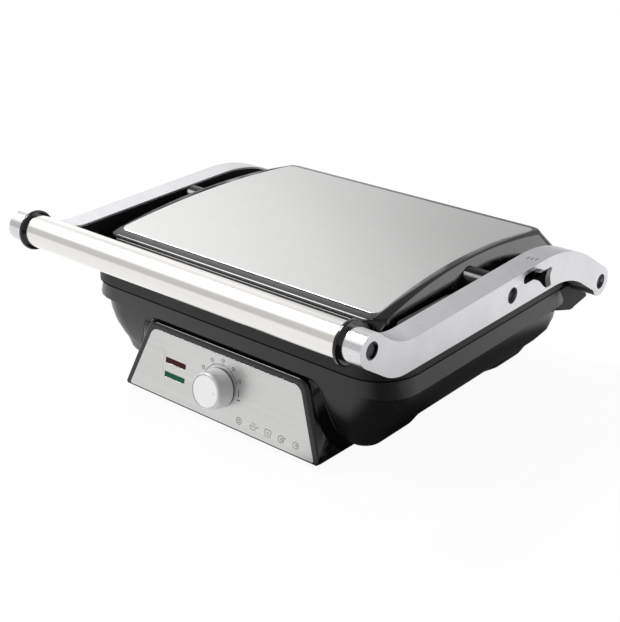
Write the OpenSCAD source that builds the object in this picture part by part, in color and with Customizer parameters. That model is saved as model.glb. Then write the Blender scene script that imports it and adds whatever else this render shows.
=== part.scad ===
// Electric contact grill with a floating lid, millimetres, +Z up.
// The origin is on the counter, midway between the four feet; the handle is at -Y.

/* [Overall] */
// Distance from the handle's axis back to the rear hinge axis
arm_span = 339; // [334:1:350]
// Height of the handle's axis above the counter
handle_z = 147; // [144:0.5:150]
// Distance of the rear hinge axis behind the middle of the feet
hinge_y = 139; // [138:0.5:144]
// Height of the rear hinge axis above the counter
hinge_z = 89.3; // [86:0.1:91]

/* [Arms] */
// Thickness of an arm across the grill
arm_t = 22; // [20:0.5:24]
// Distance from the lid's top edge out to an arm
arm_gap = 19.5; // [18:0.5:22]
// Height of the underside of the straight bar
bar_bottom_z = 113; // [112:0.5:115]
// Height of the bar's top just behind the handle
bar_front_top_z = 138; // [136:0.5:140]
// Height of the bar's top where it bends down to the hinge
bar_rear_top_z = 143.8; // [141:0.2:145]
// Radius of the rounded ends round the handle and the hinge
arm_end_r = 13.4; // [12.5:0.1:14]
// Slope of the rear limb down to the hinge, in degrees
limb_slope = 32; // [29:0.5:35]
// Wall of the cast arm round its inner channel
arm_wall = 3.6; // [3:0.1:4.5]
// Radius of the recesses that the pivot screws sit in
recess_r = 6.95; // [6.5:0.05:7.5]
// Depth of those recesses
recess_d = 6; // [4:0.5:8]
// Distance of the lid's pivot axis behind the handle's axis
lid_pivot_back = 184.8; // [180:0.2:190]
// Height of the lid's pivot axis above the counter
lid_pivot_z = 126.9; // [125:0.1:128]

/* [Handle] */
// Radius of the handle tube
handle_r = 14.2; // [13:0.1:15]
// Wall of the handle tube
handle_wall = 1.2; // [1:0.1:2]
// Radius of the black rings at the ends of the tube
ring_r = 17.4; // [16.5:0.1:18.5]
// Thickness of a black ring
ring_t = 4.4; // [3:0.2:6]

/* [Lock lever] */
// Length of the slot in the right arm
slot_l = 24; // [22:0.5:28]
// Height of the slot
slot_h = 8; // [7:0.2:9]
// Distance of the slot's middle behind the lid's pivot axis
slot_back = 28; // [26:0.5:30]
// Length of the lever's stem in the slot
stem_l = 9.6; // [8:0.2:11]
// How far the lever stands out of the arm
lever_out = 13; // [10:0.5:16]
// Height of the lever's paddle
paddle_h = 17.4; // [14:0.2:20]
// Width of the lever's paddle along the arm
paddle_w = 7.6; // [6:0.2:9]

/* [Lower housing] */
// How far the upper rim reaches out under the arms
rim_out = 3; // [2:0.5:5]
// Distance of the rim's front edge in front of the feet's middle
rim_front = 153.2; // [151:0.2:156]
// Distance of the rim's rear edge behind the feet's middle
rim_rear = 134; // [130:0.5:135]
// Corner radius of the rim
rim_corner_r = 38; // [34:1:44]
// Height of the seam between the rim and the bowl
seam_z = 88.7; // [87:0.1:90]
// Height of the rim's top
rim_top_z = 106; // [105:0.5:108]
// Step in from the rim to the band below the seam
band_step = 3; // [2:0.5:4]
// Height of that band
band_h = 17; // [14:0.5:20]
// Step in from the band to the bowl
bowl_step = 5.4; // [4:0.2:7]
// Height of the bowl's underside above the counter
bowl_bottom_z = 13; // [12:0.5:18]
// How far the bowl draws in at its sides
bowl_side_in = 65; // [56:1:72]
// How far the bowl draws in at its front
bowl_front_in = 22; // [18:1:28]
// How far the bowl draws in at its rear
bowl_rear_in = 19; // [16:1:24]
// Fullness of the bowl's curve, where 2 is an ellipse
bowl_full = 2.2; // [1.9:0.1:2.6]
// Wall of the bowl and rim mouldings
shell_wall = 2.6; // [2.2:0.1:3.2]
// Half the distance between the left and right feet
foot_x = 107; // [100:1:112]
// Half the distance between the front and rear feet
foot_y = 90; // [84:1:96]
// Radius of a rubber foot
foot_r = 11; // [9:0.5:13]
// Height of a rubber foot below its leg
foot_h = 3; // [2:0.5:4]

/* [Grill plates] */
// Distance of both cast plates' sides in from the lid's top edge
plate_in = 5; // [4:0.5:7]
// Distance of the plates' front edge in front of the feet's middle
plate_front = 128; // [124:1:130]
// Distance of the plates' rear edge behind the feet's middle
plate_rear = 106; // [100:1:107]
// Thickness of a plate under its ribs
plate_t = 4; // [3:0.5:5]
// Height of the ribs
rib_h = 4.2; // [3:0.2:4.6]
// Distance from rib to rib
rib_pitch = 12; // [10:0.5:16]
// Width of a rib at its foot
rib_foot_w = 6; // [5:0.5:7]
// Width of a rib at its crest
rib_crest_w = 2.6; // [2:0.2:4]
// Corner radius of the plates
plate_corner_r = 12; // [8:1:16]
// Diameter of the heating elements' tube
element_d = 6.6; // [6:0.1:7]

/* [Lid] */
// Half the width of the lid at its top edge
lid_hw = 151; // [149:0.5:153]
// Distance of the lid's front top edge in front of the feet's middle
lid_front = 140.5; // [138:0.5:143]
// Distance of the lid's rear top edge behind the feet's middle
lid_rear = 109; // [107:0.5:111]
// Lean of the lid's side walls from upright, in degrees
side_lean = 26.5; // [20:0.5:28]
// Lean of the lid's rear wall from upright, in degrees
rear_lean = 38; // [30:1:40]
// Lean of the lid's front wall from upright, in degrees
front_lean = 6; // [3:1:8]
// Height of the lid's lower edge above the rim's top
lid_gap = 3; // [2.6:0.1:4]
// Height of the seam between the lid's frame and its cover above the lid's lower edge
lid_frame_h = 12; // [11.5:0.5:14]
// Radius of the lid's crown from front to rear
crown_r = 810; // [760:10:860]
// Height of the crown's highest point above the counter
crown_z = 145.3; // [144.5:0.1:146.5]
// Distance of the crown's highest point in front of the feet's middle
crown_front = 6.5; // [2:0.5:12]
// How far the cover's border beside the panel falls away
shoulder_drop = 2.3; // [1.5:0.1:2.6]
// Corner radius of the lid seen from above
lid_corner_r = 13; // [10:1:18]
// Width of the cover's border beside the steel panel
panel_in = 6.8; // [6:0.2:8]
// Distance of the panel's front edge in front of the feet's middle
panel_front = 130.6; // [128:0.2:133]
// Distance of the panel's rear edge behind the feet's middle
panel_rear = 102.3; // [99:0.1:103]
// Thickness of the steel panel
panel_t = 1; // [0.8:0.1:1.5]
// Wall of the lid's mouldings
lid_wall = 2.6; // [2:0.1:3]
// Radius of the round lugs that the lid hangs by
lug_r = 13.6; // [12:0.2:14]

/* [Control box] */
// Half the width of the steel fascia at its lower edge
fascia_low_hw = 108; // [102:0.2:110]
// Half the width of the steel fascia at its upper edge
fascia_top_hw = 85.2; // [80:0.2:88]
// Height of the fascia along its slope
fascia_h = 58.5; // [55:0.5:60]
// Lean of the fascia back from upright, in degrees
fascia_lean = 10.5; // [8:0.5:12]
// Distance of the fascia's lower edge in front of the feet's middle
fascia_front = 161.5; // [160:0.5:163]
// Height of the fascia's lower edge above the counter
fascia_low_z = 5.2; // [4:0.2:7]
// Thickness of the fascia plate
fascia_t = 0.8; // [0.6:0.1:1.2]
// Width of the black border beside the fascia
border_side = 5; // [3.5:0.5:6]
// Width of the black border above the fascia
border_top = 6; // [4:0.5:7]
// Height of the knob's axis up the fascia
knob_up = 30; // [28:0.5:33]
// Radius of the knob
knob_r = 17; // [15:0.2:18]
// How far the knob stands out of the fascia
knob_h = 18.5; // [15:0.5:20]
// Gap between the knob and the fascia
knob_gap = 0.8; // [0.5:0.1:1.2]
// Radius of the thermostat's shaft
shaft_r = 3; // [2.5:0.1:3.5]
// Width of an indicator window
window_w = 24.5; // [22:0.5:28]
// Height of an indicator window
window_h = 5; // [4:0.2:6]
// Distance of the windows' middle left of the knob's axis
window_left = 53.7; // [50:0.5:58]
// Height of the upper window's middle up the fascia
window_up = 35; // [33:0.5:38]
// Distance from the upper window down to the lower one
window_pitch = 13; // [11:0.5:15]

/* [Hidden] */
$fn = 64;

// Clearances
run_gap = 0.08;    // radial gap of a turning pin in its bore
fit_gap = 0.3;     // gap between pieces that are assembled side by side
cut = 1;           // how far a cut runs past the surface that it opens

// Places worked out from the sizes above
handle_y = hinge_y - arm_span;
lid_pivot_y = handle_y + lid_pivot_back;
arm_x0 = lid_hw + arm_gap;
arm_x1 = arm_x0 + arm_t;
rim_hw = arm_x0 + rim_out;
plate_hw = lid_hw - plate_in;
panel_hw = lid_hw - panel_in;
cover_t = 2.4;                 // plastic strip in the mouth of an arm's channel
inner_x = arm_x0;              // inner face of an arm and its strip
slot_y = lid_pivot_y + slot_back;
slot_z = lid_pivot_z + 7.7;
stem_rest_y = slot_y + slot_l / 2 - stem_l / 2 - fit_gap;
lid_low_z = rim_top_z + lid_gap;
lid_seam_z = lid_low_z + lid_frame_h;
crown_axis_z = crown_z - crown_r;
lid_edge_z = crown_z - 9.3;    // height at which the lid's and the panel's widths are given
plate_rim_h = plate_t + rib_h + 0.8;   // full height of a plate's raised edge
plate_low_z = rim_top_z - plate_rim_h - 0.6;   // underside of the lower plate
plate_up_z = lid_low_z + plate_rim_h + 0.6;    // upper face of the upper plate
pivot_pin_r = 4;                       // shoulder of every pivot screw
bush_r = 6.2;                          // outside of a hinge bush
leg_z = foot_h;

// ---------- shared shapes ----------

// Turns a shape drawn in (Y, Z) to stand across the grill, from x0 over the length l
module across(x0, l) {
    translate([x0, 0, 0]) rotate([90, 0, 90]) linear_extrude(l) children();
}

module rod_x(x0, l, r, y, z) {
    translate([x0, y, z]) rotate([0, 90, 0]) cylinder(r = r, h = l);
}

module both_sides() {
    children();
    mirror([1, 0, 0]) children();
}

function unit(v) = v / norm(v);

// Arc that rounds the corner b between a and c with radius r
function corner_arc(a, b, c, r, n = 8) =
    let (
        u = unit(a - b), v = unit(c - b),
        half = acos(u * v) / 2,
        centre = b + unit(u + v) * r / sin(half),
        p = b + u * r / tan(half), q = b + v * r / tan(half),
        a0 = atan2(p[1] - centre[1], p[0] - centre[0]),
        a1 = atan2(q[1] - centre[1], q[0] - centre[0]),
        sweep = a1 - a0 > 180 ? a1 - a0 - 360 : a1 - a0 < -180 ? a1 - a0 + 360 : a1 - a0
    )
    [for (k = [0:n]) centre + r * [cos(a0 + sweep * k / n), sin(a0 + sweep * k / n)]];

// Outline through corner points [u, v, radius]; a radius of 0 keeps the corner sharp
function rounded(pts, n = 8) =
    let (m = len(pts))
    [for (i = [0:m - 1])
        let (a = pts[(i + m - 1) % m], b = pts[i], c = pts[(i + 1) % m])
        each b[2] == 0 ? [[b[0], b[1]]]
            : corner_arc([a[0], a[1]], [b[0], b[1]], [c[0], c[1]], b[2], n)];

// Rounded rectangle seen from above
function plan(hw, y0, y1, r, n = 8) =
    rounded([[hw, y0, r], [hw, y1, r], [-hw, y1, r], [-hw, y0, r]], n);

module slab(hw, y0, y1, r, z0, z1) {
    translate([0, 0, z0]) linear_extrude(z1 - z0) polygon(plan(hw, y0, y1, r));
}

// Skin through rings of equal length, given from the lowest to the highest
module loft(rings) {
    n = len(rings[0]);
    m = len(rings);
    points = [for (ring = rings) each ring];
    sides = [for (i = [0:m - 2], j = [0:n - 1])
        [i * n + j, (i + 1) * n + j, (i + 1) * n + (j + 1) % n, i * n + (j + 1) % n]];
    bottom = [for (j = [0:n - 1]) j];
    top = [for (j = [n - 1:-1:0]) (m - 1) * n + j];
    polyhedron(points = points, faces = concat([bottom, top], sides), convexity = 6);
}

function at_z(outline, z) = [for (p = outline) [p[0], p[1], z]];

// ---------- lower housing ----------

// One ring of the bowl; t runs from 0 at the band to 90 degrees at the underside
function bowl_ring(t, grow) =
    let (
        s = 1 - pow(max(cos(t), 0), 2 / bowl_full),
        fall = pow(sin(t), 2 / bowl_full),
        step = band_step + bowl_step - grow,
        hw = rim_hw - step - bowl_side_in * s,
        r = rim_corner_r - band_step - 8 * s + grow
    )
    at_z(plan(hw, -rim_front + step + bowl_front_in * s, rim_rear - step - bowl_rear_in * s, r, 7),
        seam_z - band_h - (seam_z - band_h - bowl_bottom_z + grow) * fall);

module bowl_body(grow = 0) {
    loft([for (t = [90, 84, 76, 66, 55, 44, 33, 22, 12, 5, 0]) bowl_ring(t, grow)]);
}

module band_body(grow = 0) {
    s = band_step - grow;
    low = seam_z - band_h;
    loft([
        at_z(plan(rim_hw - s - bowl_step, -rim_front + s + bowl_step, rim_rear - s - bowl_step,
            rim_corner_r - s - bowl_step, 6), low - 1.5),
        at_z(plan(rim_hw - s, -rim_front + s, rim_rear - s, rim_corner_r - s, 6), low + 1.5),
        at_z(plan(rim_hw - s, -rim_front + s, rim_rear - s, rim_corner_r - s, 6), seam_z)
    ]);
}

// Corner leg: a bulge that grows out of the bowl down to its foot. Each row gives a height above
// the foot, how far the leg reaches towards the bowl's side, front and rear, and how far it reaches
// inwards from the foot's middle
leg_rows = [
    [0, 0.28, 0.33, 0.45, 16], [5, 0.41, 0.55, 0.59, 18], [12, 0.53, 0.73, 0.72, 22],
    [22, 0.64, 0.87, 0.82, 28], [42, 0.86, 0.93, 0.91, 40]
];

module leg(side, fore, grow = 0) {
    out_x = rim_hw - band_step - bowl_step - foot_x;
    out_y = (fore < 0 ? rim_front : rim_rear) - band_step - bowl_step - foot_y;
    function leg_ring(row, z) =
        let (
            x0 = foot_x - row[4] - grow, x1 = foot_x + out_x * row[1] + grow,
            y0 = foot_y - row[4] - 13 - grow, y1 = foot_y + out_y * (fore < 0 ? row[2] : row[3]) + grow,
            hw = (x1 - x0) / 2, hl = (y1 - y0) / 2
        )
        at_z([for (p = plan(hw, -hl, hl, min(hw, hl) * 0.72, 6))
            [side * (x0 + x1) / 2 + p[0], fore * (y0 + y1) / 2 + p[1]]], z);
    loft([for (row = leg_rows) leg_ring(row, leg_z + row[0] - (row[0] == 0 ? grow : 0))]);
}

module legs(grow = 0) {
    for (side = [-1, 1], fore = [-1, 1]) leg(side, fore, grow);
}

housing_screw_x = plate_hw - 7;
housing_screw_y = [-52, 46];
screw_bore_r = 2.2;
boss_r = 6;

module housing_boss_places() {
    for (side = [-1, 1], y = housing_screw_y) translate([side * housing_screw_x, y, 0]) children();
}

module base_housing() color("#3a3b3d") {
    difference() {
        union() {
            difference() {
                union() {
                    bowl_body();
                    band_body();
                    legs();
                }
                // hollow of the bowl and of the band
                loft([for (t = [90:-15:0]) bowl_ring(t, -shell_wall)]);
                band_body(-shell_wall);
                slab(rim_hw - band_step - shell_wall, -rim_front + band_step + shell_wall,
                    rim_rear - band_step - shell_wall, rim_corner_r - band_step - shell_wall,
                    seam_z - cut, seam_z + cut);
            }
            // screw bosses that stand up to the rim's ledge
            intersection() {
                bowl_body();
                housing_boss_places() cylinder(r = boss_r, h = seam_z - band_h - 4);
            }
            housing_boss_places() translate([0, 0, seam_z - band_h - 5])
                cylinder(r = boss_r, h = ledge_z - ledge_t - seam_z + band_h + 5);
            // flat seats for the heads of the bracket screws
            intersection() {
                bowl_body();
                both_sides() bracket_screw_places() translate([0, 0, bracket_seat]) cylinder(r = 4.2, h = 6);
            }
        }
        housing_boss_places() {
            translate([0, 0, -cut]) cylinder(r = screw_bore_r, h = seam_z + 20);
            translate([0, 0, -cut]) cylinder(r = 4.4, h = screw_head_z + cut);
        }
        // way through for the thermostat's wires, behind the control box
        translate([-22, -rim_front, 26]) cube([44, 40, 24]);
        // seat of the cord gland in the rear wall
        translate([gland_x, rim_rear - 60, gland_z]) rotate([-90, 0, 0])
            cylinder(r = gland_r + fit_gap / 2, h = 80);
        // seats of the rubber feet
        foot_places() translate([0, 0, leg_z - cut]) cylinder(r = 2.2, h = 5 + cut);
        both_sides() bracket_screw_places() cylinder(r = 1.7, h = 60);
    }
}

screw_head_z = 34;    // underside of the housing screws' heads
ledge_z = plate_low_z;
ledge_t = 2.6;
ledge_in = 14;

module base_rim() color("#2f3032") {
    difference() {
        loft([
            at_z(plan(rim_hw, -rim_front, rim_rear, rim_corner_r, 6), seam_z),
            at_z(plan(rim_hw - 1, -rim_front + 1, rim_rear - 1, rim_corner_r - 1, 6), rim_top_z - 3),
            at_z(plan(rim_hw - 3.2, -rim_front + 3.2, rim_rear - 3.2, rim_corner_r - 3.2, 6), rim_top_z)
        ]);
        // opening for the plate, down to its ledge
        slab(plate_hw + 1, -plate_front - 1, plate_rear + 1, plate_corner_r + 1, ledge_z, rim_top_z + cut);
        slab(plate_hw - ledge_in, -plate_front + ledge_in, plate_rear - ledge_in, plate_corner_r,
            seam_z - cut, rim_top_z);
        // channel under the rim's top, outside the plate's opening
        difference() {
            slab(rim_hw - 4, -rim_front + 4, rim_rear - 4, rim_corner_r - 4, seam_z - cut,
                rim_top_z - shell_wall);
            slab(plate_hw + 3.4, -plate_front - 3.4, plate_rear + 3.4, plate_corner_r + 3.4,
                seam_z - 2 * cut, rim_top_z);
        }
        // the ledge is thin: everything below it is open
        slab(plate_hw + 1, -plate_front - 1, plate_rear + 1, plate_corner_r + 1, seam_z - cut,
            ledge_z - ledge_t);
        // room for the arms' rear limbs
        both_sides() across(arm_x0 - 1.5, arm_t) offset(delta = 1.6) arm_outline();
        housing_boss_places() translate([0, 0, seam_z - cut]) cylinder(r = 1.6, h = rim_top_z);
        plate_screw_places() translate([0, 0, seam_z - cut]) cylinder(r = 1.8, h = rim_top_z);
    }
}

// ---------- grill plates and heaters ----------

module plate_screw_places() {
    for (x = [-1, 1], y = [-1, 1])
        translate([x * (plate_hw - 8), (plate_rear - plate_front) / 2 + y * 96, 0]) children();
}

// Ribbed plate, face up, with its underside at z = 0
module grill_plate() {
    channel = 10;    // flat that the ribs leave free along the raised edge
    run = plate_hw - channel;
    count = floor(run / rib_pitch);
    difference() {
        slab(plate_hw, -plate_front, plate_rear, plate_corner_r, 0, plate_rim_h);
        slab(plate_hw - 3, -plate_front + 3, plate_rear - 3, plate_corner_r - 3, plate_t,
            plate_rim_h + cut);
        // spout for the fat, in the middle of the front edge
        translate([-12, -plate_front - cut, plate_t]) cube([24, 6, plate_rim_h]);
        plate_screw_places() translate([0, 0, -cut]) cylinder(r = 1.55, h = cut + plate_t - 1);
    }
    for (k = [-count:count])
        translate([k * rib_pitch, plate_rear - channel, plate_t - 0.4]) rotate([90, 0, 0])
            linear_extrude(plate_front + plate_rear - 2 * channel) polygon([
                [-rib_foot_w / 2, 0], [rib_foot_w / 2, 0],
                [rib_crest_w / 2, rib_h + 0.4], [-rib_crest_w / 2, rib_h + 0.4]
            ]);
}

module lower_grill_plate() color("#26272a") translate([0, 0, plate_low_z]) grill_plate();

module upper_grill_plate() color("#26272a")
    translate([0, 0, plate_up_z]) mirror([0, 0, 1]) grill_plate();

element_end_x = plate_hw - 48;
element_pitch = 50;
cold_bend = 8;          // bend radius of the element's cold ends

// Sheathed element: four runs joined by three bends, with its cold ends at the rear
module heating_element(z, lift) {
    r = element_d / 2;
    run = 2 * element_end_x;
    pitch = element_pitch;
    mid_y = (plate_rear - plate_front) / 2;
    for (k = [0:3]) translate([-run / 2, mid_y + (k - 1.5) * pitch, z]) rotate([0, 90, 0])
        cylinder(r = r, h = run);
    for (k = [0:2]) translate([(k % 2 == 0 ? -1 : 1) * run / 2, mid_y + (k - 1) * pitch, z])
        rotate([0, 0, k % 2 == 0 ? 90 : -90]) rotate_extrude(angle = 180)
            translate([pitch / 2, 0]) circle(r = r);
    // cold ends, bent away from the plate
    for (k = [0, 3]) translate([run / 2, mid_y + (k - 1.5) * pitch, z]) mirror([0, 0, lift < 0 ? 1 : 0]) {
        translate([0, 0, cold_bend]) rotate([0, 90, 0]) rotate([90, 0, 0])
            rotate_extrude(angle = 90) translate([cold_bend, 0]) circle(r = r);
        translate([cold_bend, 0, cold_bend]) cylinder(r = r, h = abs(lift) - cold_bend);
    }
}

module lower_heating_element() color("#6a6462")
    heating_element(plate_low_z - element_d / 2, -16);

module upper_heating_element() color("#6a6462")
    heating_element(plate_up_z + element_d / 2, 11);

// Sheet tray with a turned edge; it keeps the heat on the plate's side
module heat_shield(z0, z1, t, edge_up) {
    hw = plate_hw - ledge_in - 2;
    y0 = -plate_front + ledge_in + 2;
    y1 = plate_rear - ledge_in - 2;
    sheet_z = edge_up ? z0 : z1 - t;
    difference() {
        slab(hw, y0, y1, plate_corner_r, z0, z1);
        slab(hw - t, y0 + t, y1 - t, plate_corner_r - t, edge_up ? z0 + t : z0 - cut,
            edge_up ? z1 + cut : z1 - t);
        // holes for the element's cold ends
        for (k = [0, 3])
            translate([element_end_x + cold_bend, (plate_rear - plate_front) / 2
                + (k - 1.5) * element_pitch, z0 - cut])
                cylinder(r = element_d / 2 + 2.8, h = z1 - z0 + 2 * cut);
    }
}

module lower_heat_shield() color("#b9bcc0") heat_shield(plate_low_z - 9, plate_low_z - fit_gap, 0.8, true);

module upper_heat_shield() color("#b9bcc0") heat_shield(plate_up_z + fit_gap, plate_up_z + 8, 0.8, false);

module plate_screws() color("#8d8f92") plate_screw_places()
    translate([0, 0, ledge_z - ledge_t - 1.8]) {
        cylinder(r = 3, h = 1.8);
        cylinder(r = 1.5, h = 1.8 + ledge_t + plate_t - 1.6);
    }

// ---------- feet, screws and gland ----------

module foot_places() {
    for (x = [-1, 1], y = [-1, 1]) translate([x * foot_x, y * foot_y, 0]) children();
}

module rubber_feet() color("#1c1c1e") foot_places() {
    rotate_extrude() polygon([[0, 0], [foot_r - 1, 0], [foot_r, 1], [foot_r, foot_h], [2, foot_h],
        [2, foot_h + 4.6], [0, foot_h + 4.6]]);
}

module housing_screws() color("#8d8f92") housing_boss_places()
    translate([0, 0, screw_head_z - 3]) {
        cylinder(r = 4, h = 3);
        cylinder(r = 1.5, h = ledge_z - screw_head_z + 2);
    }

gland_x = -60;
gland_z = 46;
gland_r = 8;

module cord_gland() color("#1c1c1e") {
    wall_y = rim_rear - band_step - bowl_step - 1.8;
    translate([gland_x, wall_y - 10, gland_z]) rotate([-90, 0, 0]) difference() {
        union() {
            cylinder(r = gland_r, h = 13);
            translate([0, 0, 11.5]) cylinder(r = gland_r + 2.2, h = 2.5);
            translate([0, 0, 1]) cylinder(r = gland_r + 1.6, h = 2);
        }
        translate([0, 0, -cut]) cylinder(r = 3.8, h = 20);
    }
}

// ---------- control box ----------

module on_fascia() {
    translate([0, -fascia_front, fascia_low_z]) rotate([90 - fascia_lean, 0, 0]) children();
}

function fascia_outline() = rounded([
    [fascia_low_hw, 0, 1.5], [fascia_top_hw, fascia_h, 9],
    [-fascia_top_hw, fascia_h, 9], [-fascia_low_hw, 0, 1.5]
]);

function box_outline(in) = rounded([
    [fascia_low_hw + border_side - in, in - border_low, 2],
    [fascia_top_hw + border_side - in, fascia_h + border_top - in, 12 - in],
    [-fascia_top_hw - border_side + in, fascia_h + border_top - in, 12 - in],
    [-fascia_low_hw - border_side + in, in - border_low, 2]
]);

border_low = 0.9;          // black border under the fascia
box_low_z = 4.6;           // underside of the box at its rear end
box_top_z = 70;            // its top at its rear end
wing_x = 143;              // tips of the wings beside the box, on the bowl's front
wing_z = 50;

// Body that runs from the fascia's border back into the bowl's front, and its two wings
module box_body(in) {
    back_y = -rim_front + 38;
    top_hw = fascia_top_hw + 12 - in;
    hull() {
        on_fascia() translate([0, 0, -4 - in]) linear_extrude(4 + (in > 0 ? in - box_front : 0))
            polygon(box_outline(in));
        translate([0, back_y, 0]) rotate([90, 0, 0]) linear_extrude(2) polygon([
            [fascia_low_hw + border_side - in, box_low_z + in], [top_hw, box_top_z - in],
            [-top_hw, box_top_z - in], [-fascia_low_hw - border_side + in, box_low_z + in]
        ]);
    }
    hull() {
        on_fascia() translate([-fascia_top_hw - in, fascia_h + border_top - 10, -9 - in])
            cube([2 * (fascia_top_hw + in), 8 - in, 6]);
        translate([0, band_step + bowl_step - rim_front + 3, 0]) rotate([90, 0, 0]) linear_extrude(1)
            polygon([[wing_x - in, wing_z], [top_hw, box_top_z - in], [-top_hw, box_top_z - in],
                [in - wing_x, wing_z]]);
        translate([0, back_y, 0]) rotate([90, 0, 0]) linear_extrude(2) polygon([
            [fascia_low_hw + border_side + 1 - in, box_low_z + in], [wing_x - in, wing_z],
            [top_hw, box_top_z - in], [-top_hw, box_top_z - in], [in - wing_x, wing_z],
            [-fascia_low_hw - border_side - 1 + in, box_low_z + in]
        ]);
    }
}

box_front = 3;     // wall behind the fascia plate
lens_t = 1.4;

module window_places() {
    for (k = [0, 1]) translate([-window_left, window_up - k * window_pitch, 0]) children();
}

module control_box() color("#111214") {
    difference() {
        box_body(0);
        box_body(shell_wall);
        bowl_body(fit_gap);
        band_body(fit_gap);
        legs(fit_gap);
        on_fascia() {
            // seat of the steel plate
            translate([0, 0, -fascia_t]) linear_extrude(cut + fascia_t) offset(delta = 0.15)
                polygon(fascia_outline());
            translate([0, knob_up, -10]) cylinder(r = thermostat_neck_r + fit_gap, h = 20);
            window_places() translate([0, 0, -5]) linear_extrude(10)
                square([window_w - 2, window_h - 1], center = true);
            window_places() translate([0, 0, -fascia_t - lens_t - 0.1]) linear_extrude(10)
                square([window_w + 3, window_h + 2.4], center = true);
        }
    }
}

module fascia_plate() color("#c9cacb") on_fascia() translate([0, 0, -fascia_t]) linear_extrude(fascia_t)
    difference() {
        polygon(fascia_outline());
        window_places() square([window_w, window_h], center = true);
        translate([0, knob_up]) circle(r = thermostat_neck_r + fit_gap);
    }

module lens(k) {
    on_fascia() translate([-window_left, window_up - k * window_pitch, -fascia_t - lens_t]) linear_extrude(lens_t)
        square([window_w + 2.6, window_h + 2], center = true);
}

module red_lens() color("#7a1612") lens(0);
module green_lens() color("#0f5a38") lens(1);

// Neon lamps that lie behind the two lenses
module indicator_lamps() color("#d9b98c") on_fascia() window_places()
    translate([-8, 0, -box_front - 1.8 - fit_gap / 2]) rotate([0, 90, 0]) {
        cylinder(r = 1.8, h = 16);
        sphere(r = 1.8);
    }

thermostat_neck_r = 4.6;
thermostat_t = 9;

module thermostat_body() color("#cfcabd") on_fascia() translate([0, knob_up, 0]) difference() {
    union() {
        translate([0, 0, -box_front - fit_gap - thermostat_t]) cylinder(r = 14, h = thermostat_t);
        translate([0, 0, -box_front - 1]) cylinder(r = thermostat_neck_r, h = box_front + 0.6);
    }
    translate([0, 0, -box_front - 6]) cylinder(r = shaft_r + run_gap, h = 20);
}

module thermostat_shaft() color("#b8babd") on_fascia() translate([0, knob_up, -box_front - 5.5])
    difference() {
        cylinder(r = shaft_r, h = 5.5 + box_front + knob_gap + 10);
        // flat that turns the knob
        translate([shaft_r * 0.5, -shaft_r, 5.5 + box_front + knob_gap])
            cube([shaft_r, 2 * shaft_r, 12]);
    }

cap_r = knob_r - 3;

module control_knob() color("#d4d5d6") on_fascia() translate([0, knob_up, knob_gap]) difference() {
    rotate_extrude() polygon([
        [0, 0], [knob_r - 0.6, 0], [knob_r, 0.8], [knob_r - 0.4, knob_h - knob_gap - 2.2],
        [knob_r - 1, knob_h - knob_gap - 0.7], [knob_r - 2, knob_h - knob_gap],
        [cap_r + 0.2, knob_h - knob_gap], [cap_r + 0.2, knob_h - knob_gap - 1.6],
        [0, knob_h - knob_gap - 1.6]
    ]);
    // bore with its flat, for the shaft
    difference() {
        translate([0, 0, -cut]) cylinder(r = shaft_r + 0.02, h = 10.2 + cut);
        translate([shaft_r * 0.5 + 0.05, -shaft_r - 1, -2 * cut]) cube([shaft_r, 2 * shaft_r + 2, 14]);
    }
    // hollow under the skirt
    translate([0, 0, -cut]) difference() {
        cylinder(r = knob_r - 2.2, h = cut + 9);
        cylinder(r = shaft_r + 3, h = cut + 9);
    }
}

module knob_cap() color("#dedfe0") on_fascia() translate([0, knob_up, knob_h - 1.5]) difference() {
    cylinder(r = cap_r, h = 1);
    // dot that points at the setting
    translate([cap_r - 4, 0.9, 0.6]) cylinder(r = 0.9, h = 1);
}

// ---------- hinges ----------

bracket_t = 11;
bracket_x0 = arm_x0 - bracket_t - 0.4;

bracket_web = 20;      // width of the block between the eye plate and the flange
bracket_rear_y = rim_rear + 4;
bracket_low_z = seam_z - band_h - 13.5;
bracket_seat = rim_corner_r - band_step - shell_wall - 2.4;   // seat of the bracket screws' heads

// Side outline of the eye plate, with its tail pointing to the rear
module bracket_outline() {
    translate([hinge_y, hinge_z]) circle(r = 12);
    polygon(rounded([
        [hinge_y - 11, hinge_z, 0], [hinge_y + 12, hinge_z, 0],
        [hinge_y + 8, hinge_z - 15, 5], [hinge_y + 22, hinge_z - 27, 1.5],
        [hinge_y - 8, bracket_low_z, 2], [hinge_y - 11, bracket_low_z + 4, 0]
    ], 5));
}

// The bracket's screws point outwards through the housing's rear corner
bowl_corner = [rim_hw - band_step - bowl_step - (rim_corner_r - band_step),
    rim_rear - band_step - bowl_step - (rim_corner_r - band_step)];

module bracket_screw_places() {
    translate([bowl_corner[0], bowl_corner[1], seam_z - band_h - 6])
        rotate([0, 0, 45]) rotate([0, 90, 0]) children();
}

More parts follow.
